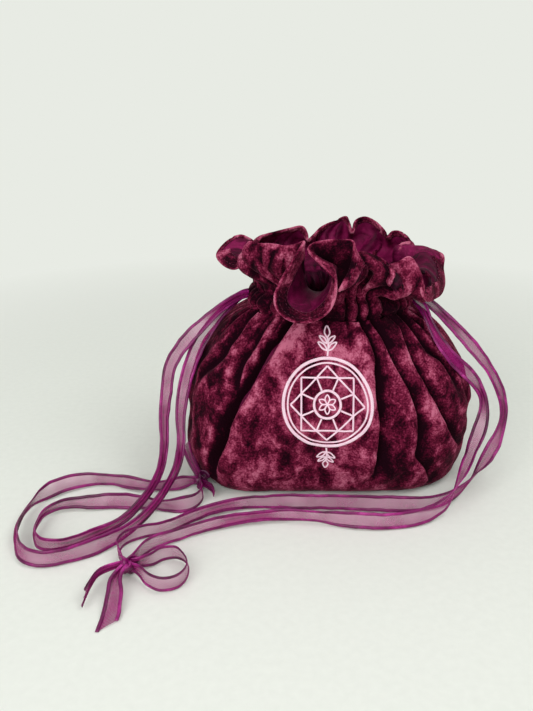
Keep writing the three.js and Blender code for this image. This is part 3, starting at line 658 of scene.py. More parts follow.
@dataclass(frozen=True)
class CrushedVelvet:
    """Crushed plush velvet: dark where the pile leans away, dusty pink where it catches the light, with
    painted highlights on its crests and painted shade in its valleys and folds.
    """

    blotch: float = 0.0092
    patch: float = 0.021
    pile: float = 0.001
    fleck: float = 0.0021
    crest_pull: float = 0.3
    bump: float = 0.0011
    stops: Stops = (
        (0.0, "#17000A"),
        (0.25, "#3A0319"),
        (0.5, "#641431"),
        (0.75, "#943B58"),
        (1.0, "#B8637E"),
    )

    def make(self) -> bpy.types.Material:
        """Mixes the material.

        Returns:
            The material.
        """
        dye = Dye("crushed_velvet")
        blotch = dye.speckle(self.blotch, detail=3.0, twist=0.6, tall=1.5)
        patch = dye.speckle(self.patch, detail=1.5, twist=0.3, tall=1.3)
        pile = dye.speckle(self.pile, detail=1.0)
        fleck = dye.speckle(self.fleck, detail=3.0, twist=0.5)
        # The crest number paints highlights on crests and shade in valleys, together with the painted light
        # and shade that each piece adds to it.
        tone = (blotch - 0.5) * 2.1 + (patch - 0.5) * 0.95 + dye.grade("crest") * self.crest_pull + 0.4
        tone = tone + (pile - 0.5) * 0.8 + (fleck - 0.5) * 0.6
        height = pile * 0.45 + fleck * 0.4 + blotch * 0.3
        return dye.finish(
            {
                "Base Color": dye.ramp(tone, self.stops),
                "Roughness": 0.9,
                "Specular IOR Level": 0.06,
                "Sheen Weight": 0.26,
                "Sheen Roughness": 0.35,
                "Sheen Tint": colour("#C2607E"),
                "Normal": dye.relief(height, self.bump, 0.65),
            }
        )


@dataclass(frozen=True)
class LiningSatin:
    """Plum satin with a soft shine and small creases, with painted highlights on its crests and painted shade
    in its valleys.
    """

    crease: float = 0.006
    thread: float = 0.0006
    bump: float = 0.0007
    stops: Stops = ((0.0, "#1C000E"), (0.5, "#56022E"), (1.0, "#86184F"))

    def make(self) -> bpy.types.Material:
        """Mixes the material.

        Returns:
            The material.
        """
        dye = Dye("lining_satin")
        crease = dye.speckle(self.crease, detail=3.0, twist=1.2)
        thread = dye.speckle(self.thread, detail=1.0)
        # The crest number paints highlights on crests and shade in valleys, together with the painted light
        # and shade that each piece adds to it.
        tone = (crease - 0.5) * 1.1 + (thread - 0.5) * 0.4 + dye.grade("crest") * 0.25 + 0.5
        return dye.finish(
            {
                "Base Color": dye.ramp(tone, self.stops),
                "Roughness": crease * 0.2 + 0.5,
                "Specular IOR Level": 0.1,
                "Sheen Weight": 0.02,
                "Sheen Tint": colour("#D03F84"),
                "Normal": dye.relief(crease * 0.8 + thread * 0.2, self.bump, 0.5),
            }
        )


@dataclass(frozen=True)
class SheerRibbon:
    """See-through organza, with its threads drawn along and across the ribbon."""

    thread: float = 0.0008
    streak: float = 0.004
    patch: float = 0.017
    cover: float = 0.48
    stops: Stops = ((0.0, "#62043F"), (0.5, "#960E6A"), (1.0, "#C43C96"))

    def make(self) -> bpy.types.Material:
        """Mixes the material.

        Returns:
            The material.
        """
        dye = Dye("sheer_ribbon")
        sockets = {"Vector": dye.chart(), "Scale": 1 / self.thread}
        weave = dye.node("ShaderNodeTexChecker", None, sockets, output="Fac")
        streak = dye.speckle(self.streak, detail=2.0, twist=1.0)
        bunched = dye.grade("bunched")
        density = dye.speckle(self.patch, detail=1.0)
        tone = (streak - 0.5) * 0.6 + weave * 0.15 - bunched * 0.6 - (density - 0.5) * 0.5 + 0.5
        return dye.finish(
            {
                "Base Color": dye.ramp(tone, self.stops),
                "Roughness": 0.6,
                "Specular IOR Level": 0.2,
                "Alpha": (density - 0.5) * 0.6 + weave * 0.08 + bunched * 0.8 + self.cover,
            }
        )


@dataclass(frozen=True)
class RibbonEdge:
    """The woven satin edge of the ribbon, glossy along its threads, with painted glints streaked along its
    colour.
    """

    name: str = "ribbon_edge"
    lightness: float = 0.36
    gloss: float = 0.016
    thread: float = 0.0011
    bump: float = 0.0003
    stops: Stops = ((0.0, "#4A0334"), (0.5, "#820C60"), (1.0, "#C23898"))

    def make(self) -> bpy.types.Material:
        """Mixes the material.

        Returns:
            The material.
        """
        dye = Dye(self.name)
        gloss = dye.speckle(self.gloss, detail=2.0, twist=0.6)
        thread = dye.speckle(self.thread, detail=1.0)
        # Painted glints: bright streaks in the edge's colour.
        tone = (gloss - 0.5) * 1.9 + (thread - 0.5) * 0.6 + self.lightness
        return dye.finish(
            {
                "Base Color": dye.ramp(tone, self.stops),
                "Roughness": 0.36,
                "Specular IOR Level": 0.4,
                "Normal": dye.relief(thread, self.bump, 0.5),
            }
        )


@dataclass(frozen=True)
class StitchThread:
    """Shiny embroidery thread, laid side by side in slanting stitches."""

    name: str = "pale_thread"
    light: str = "#FFEAF5"
    dark: str = "#F2BCD6"
    pitch: float = 0.0005
    blotch: float = 0.003
    bump: float = 0.0004

    def make(self) -> bpy.types.Material:
        """Mixes the material.

        Returns:
            The material.
        """
        dye = Dye(self.name)
        settings = {"wave_type": "BANDS", "bands_direction": "DIAGONAL"}
        sockets = {"Vector": dye.chart(), "Scale": 0.3 / self.pitch, "Distortion": 1.5, "Detail": 1.0}
        stitch = dye.node("ShaderNodeTexWave", settings, sockets, output="Fac")
        blotch = dye.speckle(self.blotch, detail=2.0)
        tone = stitch * 0.5 + (blotch - 0.5) * 0.9 + 0.35
        stops = ((0.0, self.dark), (1.0, self.light))
        return dye.finish(
            {
                "Base Color": dye.ramp(tone, stops),
                "Roughness": 0.55,
                "Specular IOR Level": 0.3,
                "Normal": dye.relief(stitch, self.bump, 0.7),
            }
        )


@dataclass(frozen=True)
class StudioPaper:
    """The pale paper of the floor and the backdrop. Far from the bag it shows as plain pale paper."""

    tint: str = "#E8EBE4"
    near: float = 0.2
    far: float = 0.6
    grain: float = 0.004

    def make(self) -> bpy.types.Material:
        """Mixes the material.

        Returns:
            The material.
        """
        dye = Dye("studio_paper")
        grain = dye.speckle(self.grain, detail=2.0)
        stops = ((0.0, "#E4E7E0"), (1.0, "#ECEFE8"))
        sockets = {"Base Color": dye.ramp(grain, stops), "Roughness": 0.8, "Specular IOR Level": 0.1}
        paper = dye.node("ShaderNodeBsdfPrincipled", None, sockets)
        glow = dye.node("ShaderNodeEmission", None, {"Color": colour(self.tint), "Strength": 1.0})
        reach = dye.node("ShaderNodeVectorMath", {"operation": "LENGTH"}, {0: dye.place()}, output="Value")
        distance = (reach - self.near) * (1 / (self.far - self.near))
        seen = [dye.node("ShaderNodeLightPath", output=ray) for ray in ("Is Camera Ray", "Is Glossy Ray")]
        through = dye.node("ShaderNodeLightPath", output="Is Transmission Ray")
        factor = distance.at_least(0.0).at_most(1.0) * seen[0].at_least(seen[1]).at_least(through)
        mixed = dye.node("ShaderNodeMixShader", None, {0: factor, 1: paper, 2: glow})
        dye.node("ShaderNodeOutputMaterial", None, {"Surface": mixed})
        return dye.material


class Finishes:
    """The object's finishes, each mixed once."""

    def __init__(self) -> None:
        """Mixes every finish."""
        self.velvet = CrushedVelvet().make()
        self.lining = LiningSatin().make()
        self.sheer = SheerRibbon().make()
        self.edge = RibbonEdge().make()
        self.knot = RibbonEdge("knot_satin", 0.06).make()
        self.thread = StitchThread().make()
        self.hem_thread = StitchThread("hem_thread", "#7A2C48", "#44102A", 0.0008).make()
        self.paper = StudioPaper().make()


def dress(piece: Piece, slot: str, *finishes: bpy.types.Material) -> None:
    """Gives a piece its finishes.

    Args:
        piece: The piece.
        slot: Not used.
        finishes: The materials, in the order of the mesh's material slots.
    """
    for finish in finishes:
        piece.data.materials.append(finish)


# The body and its lining


def oval(turns: Array, half_width: Numbers, half_depth: Numbers, squareness: Numbers) -> Array:
    """Gives the radius of a rounded outline at each turn.

    Args:
        turns: The turns, in radians.
        half_width: Half the outline's width.
        half_depth: Half its depth.
        squareness: 2 for an ellipse, more for a rounded rectangle.

    Returns:
        The radius at each turn.
    """
    wide = (np.abs(np.cos(turns)) / half_width) ** squareness
    deep = (np.abs(np.sin(turns)) / half_depth) ** squareness
    return (wide + deep) ** (-1 / squareness)


def around(turns: Array, radii: Array, heights: Array) -> Array:
    """Turns polar places into x, y and z."""
    return np.stack([radii * np.cos(turns), radii * np.sin(turns), heights + 0 * radii], axis=-1)


@dataclass(frozen=True)
class Pleats:
    """The uneven pleats that the drawstrings press into the cloth all round the neck.

    The drifts crowd and spread the pleats, and the swells make them stronger and weaker. Each is its size,
    how often it comes round the neck and the phase that it starts at.
    """

    count: int
    depth: float
    sharpness: float
    drifts: tuple[Row, ...]
    strength: float
    swells: tuple[Row, ...]

    @staticmethod
    def ripples(turns: Array, waves: tuple[Row, ...]) -> Array:
        """Adds up waves round the neck."""
        return sum(size * np.sin(times * turns + phase) for size, times, phase in waves)

    def wave(self, turns: Array) -> Array:
        """Gives the pleats' form.

        Args:
            turns: The turns, in radians.

        Returns:
            The form at each turn, from -1 in a valley to 1 on a crest.
        """
        phase = self.count * turns + self.ripples(turns, self.drifts)
        strength = self.strength + self.ripples(turns, self.swells)
        return strength * (2 * np.abs(np.cos(phase / 2)) ** self.sharpness - 1)

    def rise(self, turns: Array) -> Array:
        """Gives how far the pleats stand out, in metres."""
        return self.depth * self.wave(turns)


SMALL_PLEATS = Pleats(
    count=33,
    depth=0.0026,
    sharpness=0.8,
    drifts=((2.4, 3, 0.7), (1.9, 7, 2.1)),
    strength=0.66,
    swells=((0.2, 5, 1.3), (0.14, 13, 0.4)),
)
WIDE_PLEATS = Pleats(
    count=14,
    depth=0.0017,
    sharpness=0.9,
    drifts=((1.5, 2, 1.9), (0.8, 5, 0.0)),
    strength=0.7,
    swells=((0.3, 3, 0.4),),
)


@dataclass(frozen=True)
class Fold:
    """A groove that runs down the body, or a crest where its depth is negative.

    Heights rise and turns go with them, in degrees. A shoulder is cloth that stands up beside the groove,
    and the lap is how far the cloth leans over it, from the right, or from the left where it is negative.
    The places and widths of the shoulders, the lean and the shade are shares of the groove's width.
    """

    FADE: ClassVar[float] = 0.012
    # The groove depth at which its painted shade is full
    DEEP: ClassVar[float] = 0.012
    TAPER: ClassVar[Pair] = (1.25, 0.5)
    OPEN_SIDE: ClassVar[float] = 0.5
    SHOULDER: ClassVar[Pair] = (2.0, 1.7)
    LEAN: ClassVar[Pair] = (1.3, 0.9)
    SHADE: ClassVar[Pair] = (0.7, 1.35)

    heights: tuple[float, ...]
    turns: tuple[float, ...]
    depth: float
    width: float
    left_shoulder: float = 0.0
    right_shoulder: float = 0.0
    lap: float = 0.0

    def centre(self, heights: Array) -> Array:
        """Gives the turn of the fold's line at each height, in radians."""
        return np.radians(smooth_between(heights, self.heights, self.turns))

    def press(
        self, turns: Array, heights: Array, radii: Array, neck: float
    ) -> tuple[Array, Array, Array]:
        """Works out how the fold moves the cloth.

        Args:
            turns: The turns of the grid's places.
            heights: Their heights, as a column.
            radii: The plain body's radii there.
            neck: The height of the neck.

        Returns:
            How far each place moves outwards, how far sideways, and how much painted shade it gets in the
            groove, up to 1.
        """
        reach = (turns - self.centre(heights)) * radii
        low, high, fade = self.heights[0], self.heights[-1], self.FADE
        strength = ease(heights, low - fade, low + fade) * (1 - ease(heights, high, high + fade))
        share = reach / (self.width * (self.TAPER[0] - self.TAPER[1] * heights / neck))
        open_side = -math.copysign(1.0, self.lap)
        wider = np.where(share * open_side > 0, 1 + self.OPEN_SIDE * (self.lap != 0), 1)
        place, width = self.SHOULDER
        push = self.right_shoulder * bell(share - place, width) - self.depth * bell(share, wider)
        push = push + self.left_shoulder * bell(share + place, width)
        place, width = self.LEAN
        slide = -self.lap * bell(share - math.copysign(place, self.lap), width)
        # Painted shade in the groove, darkest on its open side.
        place, width = self.SHADE
        deep = np.clip(self.depth / self.DEEP, 0, 1)
        inside = deep * np.exp(-(((share - place * open_side) / width) ** 4))
        return strength * push, strength * slide, strength * inside


FRONT_FOLDS = (
    Fold(
        (0.015, 0.028, 0.044, 0.058, 0.066, 0.079, 0.088, 0.096, 0.106),
        (214, 217.3, 220.4, 223, 225.5, 228, 230.6, 233, 236),
        depth=0.0145, width=0.0033, left_shoulder=0.0008, right_shoulder=0.0046, lap=0.0012,
    ),
    Fold(
        (0.02, 0.038, 0.052, 0.068, 0.08, 0.087, 0.095, 0.104),
        (292.7, 292.2, 292.2, 291, 292.4, 294, 293, 288.5),
        depth=0.0045, width=0.003, left_shoulder=0.003, lap=-0.0028,
    ),
    Fold(
        (0.009, 0.02, 0.032, 0.055, 0.069, 0.076, 0.086, 0.096, 0.104),
        (320.5, 315.4, 310.3, 310.3, 308, 306.3, 304.1, 302.5, 299),
        depth=0.0042, width=0.003, left_shoulder=0.0024, lap=-0.0026,
    ),
    Fold(
        (0.028, 0.037, 0.048, 0.058, 0.072, 0.085, 0.092, 0.1),
        (333.5, 327.6, 323.3, 320.1, 317, 315.4, 316.6, 318.6),
        depth=0.005, width=0.0032, left_shoulder=0.0024, lap=-0.003,
    ),
    Fold((0.067, 0.08, 0.086, 0.093, 0.106), (334, 333.4, 329.6, 329.1, 330), 0.006, 0.0038, 0.0016),
    Fold((0.066, 0.082, 0.096, 0.106), (199, 206, 204.5, 200), 0.0036, 0.0034, 0.001, 0.001),
    Fold((0.06, 0.072, 0.081, 0.091, 0.102), (220.5, 219.2, 217.6, 219.1, 220), 0.003, 0.003, 0.001, 0.0006),
    Fold((0.02, 0.05, 0.08, 0.1), (346, 343, 340, 338), 0.0035, 0.004, 0.001, 0.001),
    Fold((0.02, 0.05, 0.075), (196, 194, 193), 0.0022, 0.005, 0.0008, 0.0008),
    Fold((0.006, 0.02, 0.03), (262, 258, 257), 0.0012, 0.008),
    Fold((0.006, 0.014, 0.024), (300, 305, 307), 0.0018, 0.005, 0.0008, 0.0008),
)
BACK_FOLDS = (
    Fold((0.01, 0.04, 0.075, 0.106), (32, 36, 40, 43), 0.0052, 0.0036, 0.002, 0.002),
    Fold((0.03, 0.06, 0.106), (53, 57, 61), 0.0034, 0.0034, 0.001, 0.001),
    Fold((0.008, 0.035, 0.07, 0.106), (81, 78, 76, 78), 0.006, 0.0036, 0.0026, 0.001),
    Fold((0.045, 0.07, 0.106), (96, 93, 90), 0.0026, 0.003, 0.001, 0.001),
    Fold((0.012, 0.045, 0.08, 0.106), (113, 110, 107, 104), 0.0048, 0.004, 0.001, 0.0024),
    Fold((0.035, 0.065, 0.106), (131, 127, 122), 0.0034, 0.0034, 0.001, 0.001),
    Fold((0.01, 0.04, 0.075, 0.106), (152, 146, 142, 139), 0.005, 0.0036, 0.0016, 0.0016),
    Fold((0.03, 0.06, 0.09), (166, 163, 161), 0.0026, 0.005, 0.0008, 0.0008),
    Fold((0.02, 0.05, 0.08), (14, 17, 19), 0.003, 0.0046, 0.0008, 0.0008),
)


@dataclass
class Body:
    """The bag's velvet body with its satin lining, from the floor to the neck.

    A pair of heights says where a change up the cloth starts and where it is complete. A ring is its height,
    width and depth as shares of the body's own, and its squareness. A row of the lining is its half width,
    height, half depth and squareness.
    """

    finishes: Finishes
    width: float = 0.176
    depth: float = 0.125
    hem_height: float = 0.0012
    neck_height: float = 0.106
    neck_half_width: float = 0.0493
    neck_half_depth: float = 0.0383
    cloth: float = 0.002
    lining_gap: float = 0.0068
    columns: int = 380
    rows: int = 124
    ring_shares: tuple[Row, ...] = (
        (0.0, 0.87, 0.83, 3.8),
        (0.08, 0.925, 0.91, 3.5),
        (0.24, 0.98, 0.98, 3.0),
        (0.46, 1.0, 1.0, 2.7),
        (0.65, 0.95, 0.94, 2.4),
        (0.81, 0.84, 0.83, 2.2),
        (0.92, 0.71, 0.73, 2.1),
    )
    lining_levels: Row = (0.0032, 0.012, 0.028, 0.046, 0.064, 0.08, 0.09)
    throat_rows: tuple[Row, ...] = (
        (0.037, 0.099, 0.026, 2.0),
        (0.0315, 0.106, 0.0212, 2.0),
        (0.0312, 0.1125, 0.0208, 2.0),
        (0.0366, 0.117, 0.0258, 2.0),
        (0.0452, 0.1186, 0.0342, 2.0),
        (0.0453, 0.12, 0.0343, 2.0),
    )
    lining_step: float = 0.0022
    lining_pleat: float = 0.0024
    throat_pleat: float = 0.0042
    corner_turns: Row = (0, 182, 190, 196, 201, 206, 210, 216, 224, 238, 360)
    corner_reach: Row = (0.0, 0.0, 0.0052, 0.0064, 0.0052, 0.003, 0.0026, 0.0042, 0.0036, 0.0, 0.0)
    corner_fade: Pair = (0.014, 0.046)
    pleats: Pleats = SMALL_PLEATS
    wide_pleats: Pleats = WIDE_PLEATS
    pleats_from: float = 0.082
    wide_pleats_rise: Pair = (0.03, 0.085)
    panel_edge: float = 12.0
    panel_smooth_to: float = 0.098
    panel_light: Pair = (0.075, 0.098)
    seam_width: float = 0.0025
    seam_dip: float = 0.0012
    tuck: float = 0.0022
    tuck_height: float = 0.006
    dents: tuple[Dents, ...] = (
        Dents(0.0009, 0.011, 3.0),
        Dents(0.0021, 0.034, 8.0),
        Dents(0.0004, 0.005, 5.0),
    )
    dents_rise: Pair = (0.0, 0.012)
    dents_to: float = 0.095
    bottom_shares: Row = (0.01, 0.2, 0.4, 0.6, 0.8, 0.93, 0.985, 1.0)
    bottom_lift: Row = (0, 0, 0, 0, 0, 0.0001, 0.0005, 0.0011)
    bottom_dents: Dents = Dents(0.0003, 0.02, 2.0)
    mouth_start: float = 0.1186
    mouth_end: Pair = (0.034, 0.1336)

    def turns(self, half: Half) -> Array:
        """Lists the turns of one half's columns, as a row."""
        return np.linspace(half.value, half.value + HALF_TURN, self.columns + 1)[None, :]

    def levels(self) -> Array:
        """Lists the heights of the velvet's rows, as a column."""
        return np.linspace(self.hem_height, self.neck_height, self.rows)[:, None]

    def outline(self, heights: Array) -> tuple[Array, Array, Array]:
        """Gives the body's rounded outline at each height.

        Args:
            heights: The heights.

        Returns:
            Half the width, half the depth and the squareness at each height.
        """
        rings = [
            (height * self.neck_height, wide * self.width / 2, deep * self.depth / 2, squareness)
            for height, wide, deep, squareness in self.ring_shares
        ]
        rings.append((self.neck_height, self.neck_half_width, self.neck_half_depth, 2.0))
        stations, wides, deeps, squares = zip(*rings)
        return tuple(smooth_between(heights, stations, table) for table in (wides, deeps, squares))

    def corner(self, turns: Array, heights: Numbers) -> Array:
        """Gives how far the bottom's left corner stands out, in metres."""
        reach = smooth_between(np.degrees(turns), self.corner_turns, self.corner_reach)
        return reach * (1 - ease(heights, *self.corner_fade))

    def panel_calm(self, half: Half) -> Array:
        """Marks the plain panel that carries the embroidery, between its two folds.

        Args:
            half: Which half. The back has no such panel.

        Returns:
            1 on the panel and 0 away from it, for each place of the velvet.
        """
        turns, heights = np.degrees(self.turns(half)), self.levels()
        if half is Half.BACK:
            return 0 * (turns + heights)
        left, right = (np.degrees(fold.centre(heights)) for fold in FRONT_FOLDS[:2])
        return ease(turns, left, left + self.panel_edge) * (1 - ease(turns, right - self.panel_edge, right))

    def lit(self, half: Half) -> Array:
        """Gives the painted light on the embroidered panel, lighter still towards its top, and the painted
        shade everywhere off the panel.
        """
        return self.panel_calm(half) * (0.75 + 0.45 * ease(self.levels(), *self.panel_light)) - 0.35

    def skin(self, half: Half) -> tuple[Array, Array]:
        """Shapes the velvet of one half.

        Args:
            half: Which half.

        Returns:
            Rows of places from the floor to the neck, and how much painted shade each one gets in a fold's
            groove.
        """
        turns, heights = self.turns(half), self.levels()
        outline = self.outline(heights)
        radii = oval(turns, *outline)
        folds = FRONT_FOLDS if half is Half.FRONT else BACK_FOLDS
        pressed = [fold.press(turns, heights, radii, self.neck_height) for fold in folds]
        push, slide, inside = (sum(part) for part in zip(*pressed))
        calm = 0.85 * self.panel_calm(half)
        near_neck = ease(heights, self.pleats_from, self.neck_height)
        lower = ease(heights, *self.wide_pleats_rise) * (1 - 0.7 * near_neck)
        smooth = calm * (1 - ease(heights, self.panel_smooth_to, self.neck_height))
        push = push + self.pleats.rise(turns) * near_neck * (1 - smooth)
        push = push + self.wide_pleats.rise(turns) * lower * (1 - calm)
        for end in (half.value, half.value + HALF_TURN):
            push = push - self.seam_dip * bell((turns - end) * radii, self.seam_width)
        push = push + self.corner(turns, heights) - self.tuck * (1 - ease(heights, 0.0, self.tuck_height))
        turned = turns + slide / radii
        places = around(turned, oval(turned, *outline) + push, heights)
        away = ease(heights, *self.dents_rise) * (1 - 0.8 * ease(heights, self.dents_to, self.neck_height))
        away = away * np.clip(np.abs(np.sin(turns)) * 8, 0, 1)
        bumps = sum(layer.on(places) for layer in self.dents) * away
        places = places + bumps[..., None] * around(turned, np.ones_like(radii), np.zeros_like(heights))
        places[:, [0, -1], 1] = 0
        return places, inside

    def fasten(self, piece: Piece, half: Half) -> None:
        """Bakes a piece's placement into its mesh."""
        end = (0.0, half.side * self.mouth_end[0], self.mouth_end[1])
        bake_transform(piece)

    def make_skin(self, half: Half) -> Piece:
        """Makes and dresses the velvet panel of one half.

        Args:
            half: Which half.

        Returns:
            The panel.
        """
        places, inside = self.skin(half)
        # Painted shade in the folds' grooves, painted light on the embroidered panel and painted shade off
        # it.
        piece = make_cloth(f"velvet_{half.word}_panel", places, painted_light_and_shade=-2.6 * inside + self.lit(half))
        dress(piece, "velvet", self.finishes.velvet)
        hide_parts(f"outer_{half.word}_panel")
        self.fasten(piece, half)
        return piece

    def make_lining(self, half: Half) -> Piece:
        """Makes and dresses the satin inside one half, up through the throat to the frill.

        Args:
            half: Which half.

        Returns:
            The lining.
        """
        heights = np.array(self.lining_levels)
        wide, deep, square = self.outline(heights)
        rows = [*zip(wide - self.lining_gap, heights, deep - self.lining_gap, square), *self.throat_rows]
        profile = smooth_route(rows, self.lining_step)
        wides, levels, deeps, squares = (column[:, None] for column in profile.T)
        turns = self.turns(half)
        share = np.linspace(0, 1, len(profile))[:, None]
        narrow = ease(share, 0.5, 0.8) * (1 - ease(share, 0.88, 1.0))
        depth = (self.lining_pleat + self.throat_pleat * narrow) * ease(share, 0.5, 0.85)
        radii = oval(turns, wides, deeps, squares) + depth * self.pleats.wave(turns)
        places = around(turns, radii, levels)
        # The throat mask paints shade down the throat.
        throat = ease(share, 0.5, 0.75) * (1 - ease(share, 0.93, 1.0))
        piece = make_cloth(f"satin_{half.word}_lining", places, painted_light_and_shade=-1.9 * throat)
        dress(piece, "lining_satin", self.finishes.lining)
        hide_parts(f"lining_{half.word}_panel")
        self.fasten(piece, half)
        return piece

    def make_bottom(self, name: str, node: str, level: float, inset: float) -> Piece:
        """Makes a bottom panel.

        Args:
            name: The piece's name.
            node: The node that it replaces.
            level: The height that it lies at.
            inset: How far inside the body's foot it ends.

        Returns:
            The bottom panel.
        """
        turns = np.linspace(0, FULL_TURN, 2 * self.columns, endpoint=False)[None, :]
        wide, deep, square = self.outline(np.array([0.0]))
        radii = oval(turns, wide[0] - inset, deep[0] - inset, square[0]) + self.corner(turns, 0.0)
        shares, lift = np.array(self.bottom_shares)[:, None], np.array(self.bottom_lift)[:, None]
        places = around(turns, radii * shares, level + lift)
        places[..., 2] += np.abs(self.bottom_dents.on(places)) * (shares < 0.95)
        piece = make_cloth(name, places, is_wrapped=True)
        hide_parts(node)
        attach(piece, "bag")
        return piece

    def make_bottoms(self) -> list[Piece]:
        """Makes and dresses both bottom panels.

        Returns:
            The velvet one and the satin one.
        """
        velvet = self.make_bottom("velvet_bottom", "outer_base", 0.0002, 0.0024)
        dress(velvet, "velvet", self.finishes.velvet)
        satin = self.make_bottom("satin_bottom", "lining_base", self.cloth + 0.0006, 0.0068)
        dress(satin, "lining_satin", self.finishes.lining)
        return [velvet, satin]

    def build(self) -> dict[Half, Piece]:
        """Builds the body and its lining.

        Returns:
            The velvet panel of each half.
        """
        panels = {}
        for half in Half:
            panels[half] = self.make_skin(half)
            report(panels[half])
            report(self.make_lining(half))
        for piece in self.make_bottoms():
            report(piece)
        return panels


def report(piece: Piece) -> None:
    """Logs a finished piece."""
    LOG.info("%s: %d faces", piece.name, len(piece.data.polygons))


# The gathered channels


@dataclass
class Channels:
    """The puckered tunnels round the neck, with the ribbons that run through them."""

    finishes: Finishes
    body: Body
    height: float = 0.0126
    foot_half_width: float = 0.04575
    foot_half_depth: float = 0.03475
    bulge: float = 0.0015
    stitch_dip: float = 0.0011
    stitch_shares: Pair = (0.12, 0.86)
    stitch_share_width: float = 0.07
    dents: Dents = Dents(0.0006, 0.006, 14.0)
    ribbon_oval: Pair = (0.049, 0.038)
    ribbon_insets: tuple[tuple[str, float], ...] = (("left", 0.0046), ("right", 0.0058))
    ribbon_opening: float = 0.26
    ribbon_columns: int = 90
    ribbon_height: float = 0.1108
    ribbon_width: float = 0.007
    rows: int = 18

    def shell(self, half: Half) -> Array:
        """Shapes one half's channel.

        Args:
            half: Which half.

        Returns:
            Rows of places from the neck to the frill's foot.
        """
        turns = self.body.turns(half)
        share = np.linspace(0, 1, self.rows)[:, None]
        lean = ease(share, 0.35, 1.0)
        wide = self.body.neck_half_width + (self.foot_half_width - self.body.neck_half_width) * lean
        deep = self.body.neck_half_depth + (self.foot_half_depth - self.body.neck_half_depth) * lean
        puff = self.bulge * np.sin(HALF_TURN * share) * (1 + 0.4 * np.sin(9 * turns))
        dip = sum(bell(share - place, self.stitch_share_width) for place in self.stitch_shares)
        wave = self.body.pleats.rise(turns + 0.012 * np.sin(5 * share))
        radii = oval(turns, wide, deep, 2.0) + wave + puff - self.stitch_dip * dip
        places = around(turns, radii, self.body.neck_height + self.height * share)
        bumps = self.dents.on(places) * np.sin(HALF_TURN * share)
        places = places + bumps[..., None] * around(turns, np.ones_like(radii), 0 * share)
        places[:, [0, -1], 1] = 0
        return places

    def make_shell(self, half: Half) -> Piece:
        """Makes and dresses one half's channel.

        Args:
            half: Which half.

        Returns:
            The channel.
        """
        # Painted shade: the whole channel is drawn darker than the rest of the velvet.
        piece = make_cloth(f"velvet_{half.word}_channel", self.shell(half), painted_light_and_shade=-0.7)
        dress(piece, "velvet", self.finishes.velvet)
        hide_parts(f"{half.word}_channel")
        self.body.fasten(piece, half)
        return piece

    def make_ribbon(self, half: Half, side: str, inset: float) -> Piece:
        """Makes the stretch of a ribbon that one half's channel hides.

        Args:
            half: Which half.
            side: The ribbon's side, left or right.
            inset: How far inside the neck the ribbon runs.

        Returns:
            The ribbon.
        """
        start, end = half.value + self.ribbon_opening, half.value + HALF_TURN - self.ribbon_opening
        turns = np.linspace(start, end, self.ribbon_columns)
        radii = oval(turns, *(size - inset for size in self.ribbon_oval), 2.0)
        places = around(turns, radii, np.full_like(turns, self.ribbon_height))
        across = np.tile(UP, (len(turns), 1))
        weave = Weave(self.ribbon_width, sway=0.0)
        piece = band_piece(f"{side}_ribbon_in_the_{half.word}", np.hstack([places, across]), weave)
        dress(piece, "ribbon", self.finishes.sheer, self.finishes.edge)
        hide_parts(f"{side}_ribbon_in_{half.word}_channel")
        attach(piece, half.mouth)
        return piece

    def build(self) -> None:
        """Builds both channels and the ribbons in them."""
        for half in Half:
            report(self.make_shell(half))
            for side, inset in self.ribbon_insets:
                report(self.make_ribbon(half, side, inset))


# The frill


